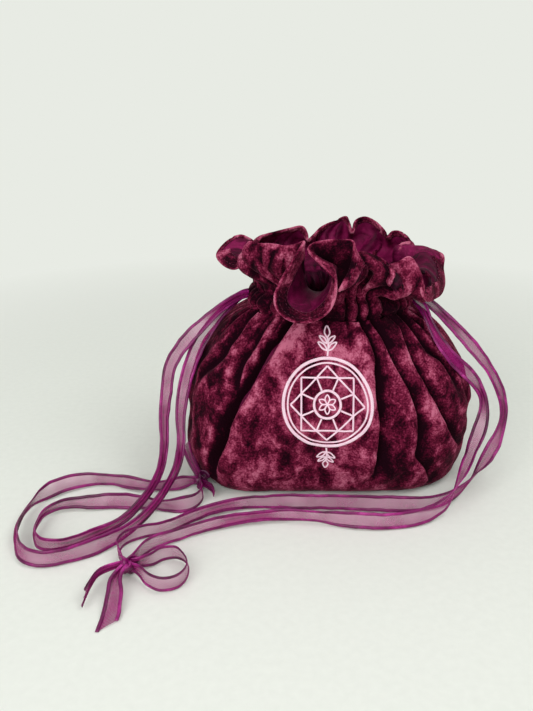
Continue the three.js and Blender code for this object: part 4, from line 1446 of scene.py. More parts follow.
@dataclass
class Frill:
    """The velvet frill above the channels, its satin lining and its double stitched hem."""

    finishes: Finishes
    channels: Channels
    length: float = 0.037
    foot_height: float = 0.1186
    columns: int = 330
    pile: float = 0.0013
    rim_round: float = 0.0015
    borders: tuple[tuple[Half, float], ...] = ((Half.FRONT, 0.0088), (Half.BACK, 0.003))
    stitch_rows: tuple[float, ...] = (0.0013, 0.0028, 0.0044, 0.0061, 0.0077)
    stitch_length: float = 0.0017
    stitch_pitch: float = 0.0026
    stitch_radius: float = 0.0002
    stitch_dip: float = 0.0005
    stitch_dip_width: float = 0.0006
    stitch_look: float = 0.0005
    stitch_sides: int = 6
    rim_step: float = 0.0008
    rim_zone: float = 0.008
    outer_rows: int = 24
    wrap_angles: Row = (60, 30, 0, -30, -60)
    curve_rows: int = 48
    tries: int = 18
    evened: int = 6
    smoothing: int = 3
    dents: tuple[Dents, ...] = (Dents(0.0011, 0.012, 21.0), Dents(0.0004, 0.005, 4.0))
    mouth_end: float = 0.0406

    def rim_columns(self, half: Half) -> Array:
        """Samples the rim of one half.

        Args:
            half: Which half.

        Returns:
            A row of x, y, z and the turn of the foot in degrees for each column.
        """
        laps = ((-360, RIM[-2:]), (0, RIM), (360, RIM[:3]))
        rows = [(x, y, z, turn + lap) for lap, points in laps for turn, x, y, z in points]
        fine = smooth_route(rows, self.rim_step)
        lengths, turns = lengths_along(fine), fine[:, 3]
        measure = lengths / lengths[-1] + (turns - turns[0]) / (turns[-1] - turns[0])
        first = 180.0 if half is Half.FRONT else 360.0
        ends = np.interp([first, first + 180], turns, measure)
        even = np.linspace(*ends, self.columns + 1)
        return read_rows(even, measure, fine)

    def foot(self, turns: Array, is_pleated: bool) -> Array:
        """Gives the places where the frill stands on its channel.

        Args:
            turns: The turns, in radians.
            is_pleated: Whether the foot follows the small pleats.

        Returns:
            One place for each turn.
        """
        radii = oval(turns, self.channels.foot_half_width, self.channels.foot_half_depth, 2.0)
        if is_pleated:
            radii = radii + self.channels.body.pleats.rise(turns)
        return around(turns, radii, np.full_like(turns, self.foot_height))

    def middle(self, half: Half) -> Array:
        """Shapes the middle of the cloth: each column rises from its foot and bends over to the rim.

        Args:
            half: Which half.

        Returns:
            Rows of places from the foot to the rim.
        """
        rim = self.rim_columns(half)
        turns = np.radians(rim[:, 3])
        start, end = self.foot(turns, True), rim[:, :3]
        outward = around(turns, np.ones_like(turns), np.zeros_like(turns))
        chord = unit(end - start)
        puff = np.interp(rim[:, 3], *zip(*PUFFS))[:, None]
        lean = (1 - puff) * (UP + 0.6 * outward) + puff * (outward - 0.15 * UP)
        sideways = unit(lean - np.sum(lean * chord, axis=1, keepdims=True) * chord)
        plain = self.foot(turns, False)
        first = plain + (UP * (0.3 - 0.24 * puff) + outward * (0.05 + 0.23 * puff)) * self.length
        share = np.linspace(0, 1, self.curve_rows)[:, None, None]
        left = 1 - share

        def curve(bulge: Array) -> Array:
            """Runs a curve up each column, which stands out sideways by its bulge.

            Args:
                bulge: How far each column stands out.

            Returns:
                Rows of places.
            """
            second = start + 0.62 * (end - start) + sideways * bulge[:, None]
            bends = 3 * left**2 * share * first + 3 * left * share**2 * second
            return left**3 * plain + left**5 * (start - plain) + bends + share**3 * end

        low, high = np.zeros(len(turns)), np.full(len(turns), 0.9 * self.length)
        for _ in range(self.tries):
            bulge = (low + high) / 2
            is_short = np.linalg.norm(np.diff(curve(bulge), axis=0), axis=-1).sum(axis=0) < self.length
            low, high = np.where(is_short, bulge, low), np.where(is_short, high, bulge)
        window = np.hanning(2 * self.evened + 3)[1:-1]
        bulge = np.convolve(np.pad(low, self.evened, mode="edge"), window / window.sum(), mode="valid")
        return self.crease(self.settle(curve(bulge)), rim[:, 3] % 360)

    def crease(self, places: Array, turns: Array) -> Array:
        """Presses the creases into the cloth.

        Args:
            places: Rows of places from the foot to the rim.
            turns: The turn of each column's foot, in degrees.

        Returns:
            The creased rows.
        """
        share = (1 - self.from_rim() / self.length)[:, None]
        depth = 0 * share
        for foot, rim, deep, width in FRILL_CREASES:
            centre = foot + (rim - foot) * share
            depth = depth + deep * bell(turns[None] - centre, width)
        depth = depth * np.sin(HALF_TURN * share) ** 0.7 * ease(share, 0, 0.15)
        return places - depth[..., None] * grid_normals(places)

    def settle(self, fine: Array) -> Array:
        """Spaces the rows evenly up the cloth, and lets neighbouring columns even out.

        Args:
            fine: Finely sampled columns.

        Returns:
            Rows of places, closer together towards the rim.
        """
        gaps = np.linalg.norm(np.diff(fine, axis=0), axis=-1)
        lengths = np.vstack([np.zeros(gaps.shape[1]), np.cumsum(gaps, axis=0)])
        lengths /= lengths[-1]
        rows = 1 - self.from_rim() / self.length
        places = np.empty((len(rows), fine.shape[1], 3))
        for column in range(fine.shape[1]):
            for axis in range(3):
                places[:, column, axis] = np.interp(rows, lengths[:, column], fine[:, column, axis])
        strength = 0.5 * np.sin(HALF_TURN * rows)[1:-1, None, None] ** 0.5
        for _ in range(self.smoothing):
            around_it = (places[1:-1, :-2] + places[1:-1, 2:] + places[:-2, 1:-1] + places[2:, 1:-1]) / 4
            places[1:-1, 1:-1] += strength * (around_it - places[1:-1, 1:-1])
        bumps = sum(layer.on(places) for layer in self.dents) * np.sin(HALF_TURN * rows)[:, None]
        return places + bumps[..., None] * grid_normals(places)

    def from_rim(self) -> Array:
        """Lists the rows' distances from the rim, from the foot's to 0.

        Returns:
            The distances.
        """
        near = np.arange(0, self.rim_zone, self.rim_step)
        far = np.linspace(self.rim_zone, self.length, self.outer_rows)
        return np.concatenate([near, far])[::-1]

    def velvet_rows(self, middle: Array, border: float) -> Array:
        """Lays the velvet over the outside, round the rim and back to the border inside.

        Args:
            middle: The middle of the cloth.
            border: How far the velvet reaches down the inside.

        Returns:
            Rows of places from the foot, over the rim, to the border.
        """
        normals = grid_normals(middle)
        distance = self.from_rim()[:, None, None]
        thickness = self.pile * (0.35 + 0.65 * (1 - ease(distance, 0.022, self.length)))
        dips = self.stitch_dip * sum(bell(distance - row, self.stitch_dip_width) for row in self.stitch_rows)
        rounding = ease(distance, -0.0004, 0.0016)
        outer = middle + normals * thickness * (0.55 + 0.45 * rounding)
        inner = middle - normals * (self.pile * (0.55 + 0.45 * rounding) - dips)
        tangent = unit(middle[-1] - middle[-3])
        wrap = []
        for angle in np.radians(self.wrap_angles):
            side = normals[-1] * math.sin(angle) * self.rim_round * 0.75
            wrap.append(middle[-1] + side + tangent * math.cos(angle) * self.rim_round)
        inside = inner[distance[:, 0, 0] <= border][::-1]
        tucked = middle[len(middle) - len(inside)] - normals[len(middle) - len(inside)] * 0.0001
        return np.concatenate([outer, np.array(wrap), inside, tucked[None]])

    def fasten(self, piece: Piece, half: Half) -> None:
        """Bakes a piece's placement into its mesh."""
        end = (0.0, half.side * self.mouth_end, self.foot_height)
        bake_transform(piece)

    def make_velvet(self, half: Half, middle: Array, border: float) -> Piece:
        """Makes and dresses one half's velvet.

        Args:
            half: Which half.
            middle: The middle of the cloth.
            border: How far the velvet reaches down the inside.

        Returns:
            The velvet frill.
        """
        places = self.velvet_rows(middle, border)
        rows = np.arange(len(places))[:, None]
        past_rim = rows - len(middle) - 2
        # Painted light and shade: a painted highlight along the rim, and painted shade over the outside,
        # which is darker than the border inside.
        painted_light_and_shade = 1.1 * bell(past_rim, 4) - 0.62 + 0.7 * ease(past_rim, 0, 5)
        piece = make_cloth(f"velvet_{half.word}_frill", places, painted_light_and_shade=painted_light_and_shade)
        dress(piece, "velvet", self.finishes.velvet)
        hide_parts(f"{half.word}_frill")
        self.fasten(piece, half)
        return piece

    def make_lining(self, half: Half, middle: Array, border: float) -> Piece:
        """Makes and dresses one half's satin.

        Args:
            half: Which half.
            middle: The middle of the cloth.
            border: How far the velvet reaches down the inside.

        Returns:
            The satin lining.
        """
        distance = self.from_rim()
        kept = distance >= border - 0.0012
        depth = (0.0003 + 0.0003 * ease(distance, border - 0.0012, border + 0.002))[:, None, None]
        places = (middle - grid_normals(middle) * depth)[kept]
        # Painted light on the back half's satin, painted shade on the front half's, and painted shade deep
        # down near the foot.
        near_foot = ease(distance, self.length - 0.016, self.length)[kept, None]
        piece = make_cloth(f"satin_{half.word}_frill", places, painted_light_and_shade=0.8 * half.side - 1.5 * near_foot)
        dress(piece, "lining_satin", self.finishes.lining)
        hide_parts(f"{half.word}_frill_lining")
        self.fasten(piece, half)
        return piece

    def stitches(
        self, centres: Array, alongs: Array, facings: Array
    ) -> tuple[Array, Array]:
        """Shapes short stitches.

        Args:
            centres: The middle of each stitch.
            alongs: The way that each one runs.
            facings: The way that the cloth faces there.

        Returns:
            The vertices and the faces.
        """
        sideways = np.cross(alongs, facings)
        rings = []
        for share, girth in ((-0.5, 0.35), (-0.32, 1.0), (0.32, 1.0), (0.5, 0.35)):
            middle = centres + alongs * share * self.stitch_length
            middle = middle - facings * self.stitch_radius * 2.0 * abs(share)
            for angle in np.linspace(0, FULL_TURN, self.stitch_sides, endpoint=False):
                reach = sideways * math.cos(angle) + facings * math.sin(angle)
                rings.append(middle + reach * girth * self.stitch_radius)
        places = np.stack(rings, axis=1)
        one = grid_faces(4, self.stitch_sides, True)
        firsts = np.arange(len(centres))[:, None, None] * places.shape[1]
        return places.reshape(-1, 3), (one[None] + firsts).reshape(-1, 4)

    def make_stitches(self, half: Half, middle: Array, border: float) -> Piece:
        """Makes the stitches that hold the hem.

        Args:
            half: Which half.
            middle: The middle of the cloth.
            border: How far the velvet reaches down the inside.

        Returns:
            The stitches.
        """
        normals = grid_normals(middle)
        distance = self.from_rim()
        centres, alongs, facings = [], [], []
        for row in self.stitch_rows:
            if row > border:
                continue
            near = int(np.argmin(np.abs(distance - row)))
            lengths = lengths_along(middle[near])
            marks = np.arange(self.stitch_pitch / 2, lengths[-1], self.stitch_pitch)
            line = read_rows(marks, lengths, middle[near])
            ahead = read_rows(marks + self.stitch_look, lengths, middle[near])
            facing = unit(read_rows(marks, lengths, normals[near]))
            centres.append(line - facing * (self.pile - 2 * self.stitch_radius))
            alongs.append(unit(ahead - line))
            facings.append(-facing)
        places = self.stitches(np.vstack(centres), np.vstack(alongs), np.vstack(facings))
        piece = make_mesh(f"stitched_{half.word}_hem", *places)
        give_chart(piece, places[0][:, 0], places[0][:, 2])
        dress(piece, "velvet", self.finishes.hem_thread)
        self.fasten(piece, half)
        return piece

    def build(self) -> None:
        """Builds both halves of the frill."""
        for half, border in self.borders:
            middle = self.middle(half)
            report(self.make_velvet(half, middle, border))
            report(self.make_lining(half, middle, border))
            report(self.make_stitches(half, middle, border))


# The ribbons


@dataclass(frozen=True)
class Weave:
    """How a ribbon is woven and how it lies.

    The bunching gives how much of the width is left along the length, from start to end. The slant is how
    far the cut end runs off square, the sway how far the ribbon leans to and fro, in radians, and the waver
    how far its edges are drawn in.
    """

    width: float = 0.01
    edge: float = 0.0019
    edge_thickness: float = 0.0008
    hollow: float = 0.0011
    ripple: float = 0.0005
    pucker: float = 0.0016
    start_width: float = 1.0
    end_width: float = 1.0
    narrowing: float = 0.014
    bunching: tuple[Pair, ...] = ((0.0, 1.0), (0.5, 1.0), (1.0, 1.0))
    slant: float = 0.0
    least_cut: float = 0.001
    sway: float = 0.75
    sway_length: float = 0.034
    sway_start: Pair = (0.02, 0.05)
    sway_end: float = 0.02
    waver: float = 0.22
    wander_length: float = 0.03
    flutter_length: float = 0.011
    floor: float = 0.0003
    sheet_columns: int = 9
    edge_sides: int = 8
    seed: float = 1.0

    def breadth(self, lengths: Array) -> Array:
        """Gives how much of its width the ribbon has at each length.

        Args:
            lengths: How far along the ribbon each row lies.

        Returns:
            The shares of the width.
        """
        from_start = ease(lengths, 0, self.narrowing)
        from_end = ease(lengths[-1] - lengths, 0, self.narrowing)
        breadth = self.start_width + (1 - self.start_width) * from_start
        breadth = np.minimum(breadth, self.end_width + (1 - self.end_width) * from_end)
        return breadth * smooth_between(lengths / lengths[-1], *zip(*self.bunching))

    def lean(self, lengths: Array) -> Array:
        """Gives how far the ribbon leans over at each length, in radians, as a column."""
        free = ease(lengths, *self.sway_start) * ease(lengths[-1] - lengths, 0, self.sway_end)
        return (self.sway * wobble(lengths, self.sway_length, self.seed, 11.0) * free)[:, None]


def band_sections(rows: Array, weave: Weave) -> tuple[Array, list[Array], Array]:
    """Sweeps a ribbon's sheet and its two edges along its middle line.

    Args:
        rows: Places and width directions along the line.
        weave: The ribbon's make.

    Returns:
        The sheet's rows of places, each edge's, and how bunched each row is.
    """
    line, lengths = rows[:, :3], lengths_along(rows)
    along = unit(np.gradient(line, axis=0))
    across = unit(rows[:, 3:] - np.sum(rows[:, 3:] * along, axis=1, keepdims=True) * along)
    lean = weave.lean(lengths)
    across = np.cos(lean) * across + np.sin(lean) * np.cross(along, across)
    facing = np.cross(along, across)
    breadth = weave.breadth(lengths)
    half, squeeze = breadth * weave.width / 2, 1 - breadth
    wander = wobble(lengths, weave.wander_length, weave.seed, 0.5)
    flutter = [wobble(lengths, weave.flutter_length, weave.seed, side)[:, None] for side in (3.0, 7.0)]
    cut_length = max(2.5 * abs(weave.slant), weave.least_cut)
    cut = weave.slant / 2 * (1 - ease(lengths[-1] - lengths, 0, cut_length))

    def place(share: Array) -> Array:
        """Finds places on every row of the ribbon.

        Args:
            share: How far from the middle line they lie, as shares of half the width.

        Returns:
            Rows of places.
        """
        left, right = (1 - share) / 2, (1 + share) / 2
        lift = weave.hollow * (0.4 + 1.3 * wander)[:, None] * (1 - share**2)
        lift = lift + weave.ripple * (left * flutter[0] + right * flutter[1]) * np.abs(share)
        lift = lift + weave.pucker * squeeze[:, None] * np.cos(2.5 * HALF_TURN * share)
        drawn = weave.waver * np.abs(left * flutter[1] + right * flutter[0]) * np.abs(share)
        reach = half[:, None] * share * (1 - drawn)
        ahead = along[:, None] * (cut[:, None] * share)[..., None]
        return line[:, None] + across[:, None] * reach[..., None] + facing[:, None] * lift[..., None] + ahead

    edge_share = weave.edge / weave.width
    inner = 1 - 1.6 * edge_share
    sheet = place(np.linspace(-inner, inner, weave.sheet_columns)[None, :])
    angles = np.linspace(0, FULL_TURN, weave.edge_sides, endpoint=False)[None, :, None]
    wide = np.cos(angles) * weave.edge / 2 * across[:, None]
    high = np.sin(angles) * weave.edge_thickness / 2 * facing[:, None]
    edges = [place(np.array([[side * (1 - edge_share)]])) + wide + high for side in (-1, 1)]
    return sheet, edges, squeeze


def band_piece(name: str, rows: Array, weave: Weave) -> Piece:
    """Makes a ribbon of a see-through sheet between two satin edges.

    Args:
        name: The piece's name.
        rows: Places and width directions along its middle line.
        weave: The ribbon's make.

    Returns:
        The ribbon, with its sheet in the first material slot and its edges in the second.
    """
    sheet, edges, squeeze = band_sections(rows, weave)
    count, wide = sheet.shape[:2]
    faces = [list(face) for face in grid_faces(count, wide, False)]
    slots = [0] * len(faces)
    first = count * wide
    for edge in edges:
        sides = edge.shape[1]
        faces += [list(face) for face in grid_faces(count, sides, True, first)]
        faces.append([first + side for side in range(sides)][::-1])
        faces.append([first + (count - 1) * sides + side for side in range(sides)])
        first += count * sides
    slots += [1] * (len(faces) - len(slots))
    places = np.vstack([part.reshape(-1, 3) for part in (sheet, *edges)])
    places[:, 2] = np.maximum(places[:, 2], weave.floor)
    piece = make_mesh(name, places, faces)
    piece.data.polygons.foreach_set("material_index", slots)
    across = [np.linspace(0, weave.width, wide)] + [np.full(edge.shape[1], 0.0) for edge in edges]
    along_chart, bunched = (
        np.concatenate([np.repeat(values, len(part)) for part in across])
        for values in (lengths_along(rows), squeeze)
    )
    give_chart(piece, along_chart, np.concatenate([np.tile(part, count) for part in across]))
    give_number(piece, "bunched", bunched)
    return piece


@dataclass(frozen=True)
class Strand:
    """A stretch of ribbon: its piece, the node that it replaces, its route and its make."""

    name: str
    node: str
    route: tuple[Row, ...]
    weave: Weave


@dataclass(frozen=True)
class Knot:
    """An overhand knot that draws the ribbon's ends together. The tilt is in radians."""

    name: str
    node: str
    centre: Row
    loop: float = 0.00135
    band: float = 0.005
    tilt: float = 0.5
    opening: float = 0.12
    columns: int = 90

    def rows(self) -> Array:
        """Winds the knot's line.

        Returns:
            Places and width directions along it.
        """
        turn = np.linspace(self.opening, FULL_TURN - self.opening, self.columns)
        x = np.sin(turn) + 2 * np.sin(2 * turn)
        y = np.cos(turn) - 2 * np.cos(2 * turn)
        z = -1.35 * np.sin(3 * turn)
        flat = np.column_stack([x, y, z]) * self.loop
        lean = np.array([[math.cos(self.tilt), 0, math.sin(self.tilt)], [0, 1, 0]])
        upright = np.cross(lean[0], lean[1])
        line = flat @ np.vstack([lean, upright]) + np.array(self.centre)
        across = np.column_stack([np.sin(turn) * 0.6, np.cos(turn) * 0.6, np.ones_like(turn)])
        return np.hstack([line, across])


@dataclass
class Drawstring:
    """One drawstring: its strands beside the bag, its knot and its tails."""

    side: str
    finishes: Finishes
    strands: tuple[Strand, ...]
    tails: tuple[Strand, ...]
    knot: Knot
    step: float = 0.0012
    knot_reach: float = 0.009

    @property
    def body(self) -> str:
        """The body that the drawstring moves with."""
        return f"{self.side}_drawstring"

    def toward_knot(self, end: Row) -> list[Row]:
        """Carries the end of a stretch on into the knot.

        Args:
            end: The place and the width direction at the end.

        Returns:
            One more row, or none where the end doesn't meet the knot.
        """
        away = np.subtract(end[:3], self.knot.centre)
        if np.linalg.norm(away) >= self.knot_reach:
            return []
        return [(*np.add(self.knot.centre, 0.25 * away), *end[3:])]

    def make_strand(self, strand: Strand) -> tuple[Piece, float]:
        """Makes and dresses one stretch of ribbon.

        Args:
            strand: The stretch.

        Returns:
            The ribbon and its length.
        """
        route = strand.route
        rows = [*self.toward_knot(route[0]), *route, *self.toward_knot(route[-1])]
        piece = band_piece(strand.name, smooth_route(rows, self.step), strand.weave)
        dress(piece, "ribbon", self.finishes.sheer, self.finishes.edge)
        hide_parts(strand.node)
        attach(piece, self.body)
        report(piece)
        return piece, float(lengths_along(smooth_route(route, self.step))[-1])

    def make_knot(self) -> Piece:
        """Makes and dresses the knot.

        Returns:
            The knot.
        """
        weave = Weave(width=self.knot.band, edge=0.0016, edge_thickness=0.0011, hollow=0.0009, ripple=0.0003)
        piece = band_piece(self.knot.name, self.knot.rows(), weave)
        dress(piece, "ribbon", self.finishes.knot, self.finishes.knot)
        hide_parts(self.knot.node)
        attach(piece, self.body)
        report(piece)
        return piece

    def build(self) -> None:
        """Builds the drawstring's knot, tails and strands."""
        with_pieces = [self.make_knot()] + [self.make_strand(tail)[0] for tail in self.tails]
        for strand in self.strands:
            piece, length = self.make_strand(strand)
            with_pieces = []


LEFT_OUTER_BUNCHING = (
    (0.0, 0.4), (0.08, 0.45), (0.15, 0.85), (0.24, 0.8), (0.31, 0.55), (0.38, 0.4), (0.5, 0.4), (0.57, 0.7),
    (0.63, 0.75), (0.69, 0.5), (0.74, 0.6), (0.8, 0.95), (1.0, 1.0),
)
LEFT_INNER_BUNCHING = (
    (0.0, 0.4), (0.08, 0.5), (0.14, 0.9), (0.22, 0.75), (0.29, 0.5), (0.36, 0.4), (0.44, 0.5), (0.52, 1.0),
    (0.6, 0.9), (0.67, 0.55), (0.72, 0.6), (0.78, 1.0), (0.88, 0.8), (1.0, 1.0),
)
RIGHT_OUTER_BUNCHING = (
    (0.0, 0.45), (0.1, 0.55), (0.17, 0.75), (0.23, 0.6), (0.29, 0.5), (0.34, 0.8), (0.42, 0.65), (0.5, 0.95),
    (0.72, 1.0), (0.8, 0.6), (0.88, 0.9), (1.0, 1.0),
)
RIGHT_INNER_BUNCHING = (
    (0.0, 0.4), (0.09, 0.6), (0.16, 0.8), (0.22, 0.75), (0.27, 0.45), (0.33, 0.85), (0.42, 0.8), (0.5, 1.0),
    (0.7, 0.9), (0.78, 0.55), (0.86, 0.8), (1.0, 1.0),
)
TAIL_BUNCHING = ((0.0, 0.25), (0.3, 0.42), (0.65, 0.55), (1.0, 0.7))
WIDE_TAIL_BUNCHING = ((0.0, 0.25), (0.25, 0.5), (0.5, 0.8), (1.0, 0.95))


def left_drawstring(finishes: Finishes) -> Drawstring:
    """Lists the left drawstring's stretches of ribbon.

    Args:
        finishes: The object's finishes.

    Returns:
        The drawstring.
    """
    outer = Weave(end_width=0.5, bunching=LEFT_OUTER_BUNCHING, seed=1.0)
    inner = Weave(end_width=0.5, bunching=LEFT_INNER_BUNCHING, seed=2.0)
    tail = Weave(hollow=0.0008, bunching=TAIL_BUNCHING, slant=0.005, sway=0.0, seed=5.0)
    return Drawstring(
        "left",
        finishes,
        strands=(
            Strand("left_outer_ribbon", "left_ribbon_outer_strand", LEFT_OUTER_STRAND, outer),
            Strand("left_inner_ribbon", "left_ribbon_inner_strand", LEFT_INNER_STRAND, inner),
        ),
        tails=(
            Strand("left_long_ribbon_end", "left_long_tail", LEFT_LONG_TAIL, tail),
            Strand("left_short_ribbon_end", "left_short_tail", LEFT_SHORT_TAIL, tail),
        ),
        knot=Knot("left_ribbon_knot", "left_knot", (-0.0795, -0.0445, 0.0056)),
    )


def right_drawstring(finishes: Finishes) -> Drawstring:
    """Lists the right drawstring's stretches of ribbon.

    Args:
        finishes: The object's finishes.

    Returns:
        The drawstring.
    """
    outer = Weave(end_width=0.5, bunching=RIGHT_OUTER_BUNCHING, seed=3.0)
    inner = Weave(end_width=0.5, bunching=RIGHT_INNER_BUNCHING, seed=4.0)
    ring = Weave(start_width=0.5, end_width=0.5, hollow=0.0016, ripple=0.0008, seed=6.0)
    wide_tail = Weave(hollow=0.0008, bunching=WIDE_TAIL_BUNCHING, slant=-0.0085, sway=0.0, seed=9.0)
    thin_tail = Weave(hollow=0.0008, bunching=TAIL_BUNCHING, slant=-0.006, sway=0.0, seed=7.0)
    return Drawstring(
        "right",
        finishes,
        strands=(
            Strand("right_outer_ribbon", "right_ribbon_outer_strand", RIGHT_OUTER_STRAND, outer),
            Strand("right_inner_ribbon", "right_ribbon_inner_strand", RIGHT_INNER_STRAND, inner),
            Strand("right_ribbon_loop", "right_ribbon_ring", RIGHT_RING_STRAND, ring),
        ),
        tails=(
            Strand("right_wide_ribbon_end", "right_wide_tail", RIGHT_WIDE_TAIL, wide_tail),
            Strand("right_thin_ribbon_end", "right_thin_tail", RIGHT_THIN_TAIL, thin_tail),
        ),
        knot=Knot("right_ribbon_knot", "right_knot", (-0.109, -0.127, 0.006), tilt=-0.4),
    )


# The embroidery


@dataclass(frozen=True)
class Line:
    """One line of stitching: x and z from the motif's centre, its width and whether it closes."""

    points: Array
    width: float
    is_closed: bool = False


@dataclass
class Embroidery:
    """The stitched motif on the front panel: a ringed star round a small flower, with two sprigs."""

    finishes: Finishes
    body: Body
    panel: Piece
    centre_x: float = -0.0045
    centre_height: float = 0.063
    radius: float = 0.0249
    inner_ring: float = 0.0224
    star_radius: float = 0.0208
    heart_radius: float = 0.0075
    petal: float = 0.0052
    sprig_height: float = 0.013
    thick: float = 0.0019
    thin: float = 0.0011
    rise_share: float = 0.42
    step: float = 0.0005
    sunk: float = 0.00015
    evened: int = 3
    unevenness: float = 0.09
    arc_columns: int = 7
    circle_points: int = 120
    sprig_gap: float = 0.0012
    bud_drop: float = 0.0004
    stem_drop: float = 0.003
    stem_bend: float = 0.0005
    leaf: tuple[Row, ...] = ((0, 0), (0.0026, 0.0009), (0.0052, 0.0042), (0.0018, 0.0031))
    bud: tuple[Row, ...] = ((0, -0.0034), (0.0015, -0.001), (0, 0.002), (-0.0015, -0.001))

    def cloth(self) -> BVHTree:
        """Readies the front panel for finding places on it.

        Returns:
            The panel, as a tree of its faces.
        """
        mesh = self.panel.data
        places = [vertex.co.copy() for vertex in mesh.vertices]
        return BVHTree.FromPolygons(places, [tuple(face.vertices) for face in mesh.polygons])

    def circle(self, radius: float) -> Array:
        """Lists points round a circle."""
        turns = np.linspace(0, FULL_TURN, self.circle_points, endpoint=False)
        return np.column_stack([radius * np.cos(turns), radius * np.sin(turns)])

    def polar(self, radius: float, degrees: float) -> Pair:
        """Gives a point at a radius and a turn."""
        turn = math.radians(degrees)
        return radius * math.cos(turn), radius * math.sin(turn)

    def ring_lines(self) -> list[Line]:
        """Lists the double ring.

        Returns:
            Its lines.
        """
        return [
            Line(self.circle(self.radius), self.thick, True),
            Line(self.circle(self.inner_ring), self.thin, True),
        ]

    def star_lines(self) -> list[Line]:
        """Lists the two squares that make an eight-pointed star, and the spokes inside it.

        Returns:
            Their lines.
        """
        lines = []
        for turn in (0, 45):
            corners = [self.polar(self.star_radius, turn + 90 * side) for side in range(4)]
            for start, end in zip(corners, corners[1:] + corners[:1]):
                lines.append(Line(np.array([start, end]), self.thin))
        for spoke in range(8):
            turn = 22.5 + 45 * spoke
            ends = [self.polar(self.heart_radius * 1.12, turn), self.polar(self.star_radius * 0.74, turn)]
            lines.append(Line(np.array(ends), self.thin))
        return lines

    def heart_lines(self) -> list[Line]:
        """Lists the ring in the middle and the petals in it.

        Returns:
            Their lines.
        """
        lines = [Line(self.circle(self.heart_radius), self.thick * 0.8, True)]
        for petal in range(6):
            turn = 60 * petal + 30
            tip = self.polar(self.petal, turn)
            left, right = (self.polar(self.petal * 0.62, turn + side * 24) for side in (-1, 1))
            lines.append(Line(np.array([(0, 0), left, tip, right]), self.thin * 0.8, True))
        return lines

    def sprig_lines(self, direction: float) -> list[Line]:
        """Lists a sprig that stands on the ring.

        Args:
            direction: 1 for the upper sprig, -1 for the lower.

        Returns:
            The stem, the leaves and the bud.
        """
        foot = self.radius + self.sprig_gap
        tip = foot + self.sprig_height
        stem = [(0, foot), (self.stem_bend, (foot + tip) / 2), (0, tip - self.stem_drop)]
        lines = [Line(np.array(stem), self.thin)]
        for share, size in ((0.22, 1.0), (0.5, 0.85)):
            low = foot + share * self.sprig_height
            for side in (-1, 1):
                leaf = np.array(self.leaf) * size * (side, 1) + (0, low)
                lines.append(Line(leaf, self.thin * 0.9, True))
        lines.append(Line(np.array(self.bud) + (0, tip - self.bud_drop), self.thin * 0.9, True))
        return [Line(line.points * (1, direction), line.width, line.is_closed) for line in lines]

    def follow(self, line: Line) -> Array:
        """Samples a line evenly and smoothly.

        Args:
            line: The line.

        Returns:
            Rows of x and z from the motif's centre.
        """
        points = np.column_stack([line.points, np.zeros(len(line.points))])
        if line.is_closed:
            points = np.vstack([points, points[:1]])
        if len(points) == 2:
            points = np.vstack([points[0], points.mean(axis=0), points[1]])
        return smooth_route(points, self.step)[:, :2]

    def lay(self, cloth: BVHTree, line: Line) -> tuple[Array, Array, Array]:
        """Lays a line of satin stitch on the panel.

        Args:
            cloth: The panel.
            line: The line.

        Returns:
            The rows of places, and the chart along and across the stitches.
        """
        places, facings = [], []
        for x, z in self.follow(line):
            eye = Vector((self.centre_x + x, -self.body.depth, self.centre_height + z))
            place, facing, _, _ = cloth.ray_cast(eye, Vector((0, 1, 0)))
            if place is None:
                raise ValueError("a stitched line leaves the front panel")
            places.append(place)
            facings.append(facing if facing.y < 0 else -facing)
        route, facing = np.array(places), np.array(facings)
        window = 2 * self.evened + 1
        padded = np.pad(facing, ((self.evened, self.evened), (0, 0)), mode="edge")
        facing = unit(sum(padded[at : at + len(facing)] for at in range(window)) / window)
        across = unit(np.cross(facing, unit(np.gradient(route, axis=0))))
        angles = np.linspace(0, HALF_TURN, self.arc_columns)
        places = [Vector((at * 1.7, line.width * 900, 0)) for at in range(len(route))]
        uneven = 1 + self.unevenness * np.array([noise.noise(place) for place in places])
        wide = (uneven * line.width / 2)[:, None, None] * np.cos(angles)[None, :, None] * across[:, None]
        high = line.width * self.rise_share * np.sin(angles)[None, :, None] ** 0.7 * facing[:, None]
        rows = route[:, None] + wide + high - facing[:, None] * self.sunk
        along_chart = np.repeat(lengths_along(route)[:, None], len(angles), axis=1)
        across_chart = np.tile(np.cos(angles) * line.width / 2, (len(route), 1))
        return rows, along_chart, across_chart

    def make_motif(self, name: str, node: str, lines: Sequence[Line], cloth: BVHTree) -> Piece:
        """Makes and dresses one stitched motif.

        Args:
            name: The piece's name.
            node: The node that it replaces.
            lines: Its lines of stitching.
            cloth: The panel.

        Returns:
            The motif.
        """
        places, faces, alongs, acrosses = [], [], [], []
        first = 0
        for line in lines:
            rows, along, across = self.lay(cloth, line)
            count, wide = rows.shape[:2]
            faces.append(grid_faces(count, wide, False, first))
            first += count * wide
            places.append(rows.reshape(-1, 3))
            alongs.append(along.ravel())
            acrosses.append(across.ravel())
        piece = make_mesh(name, np.vstack(places), np.vstack(faces))
        give_chart(piece, np.concatenate(alongs), np.concatenate(acrosses))
        dress(piece, "thread", self.finishes.thread)
        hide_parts(node)
        self.body.fasten(piece, Half.FRONT)
        return piece

    def build(self) -> None:
        """Builds the five motifs."""
        cloth = self.cloth()
        motifs = (
            ("stitched_ring", "embroidered_ring", self.ring_lines()),
            ("stitched_star", "embroidered_star", self.star_lines()),
            ("stitched_flower", "embroidered_heart_ring", self.heart_lines()),
            ("stitched_upper_sprig", "embroidered_upper_sprig", self.sprig_lines(1)),
            ("stitched_lower_sprig", "embroidered_lower_sprig", self.sprig_lines(-1)),
        )
        for name, node, lines in motifs:
            report(self.make_motif(name, node, lines, cloth))


# The studio


@dataclass(frozen=True)
class Lamp:
    """One soft square lamp: where it hangs, the length of its side and its power in watts."""

    name: str
    place: Row
    size: float
    power: float


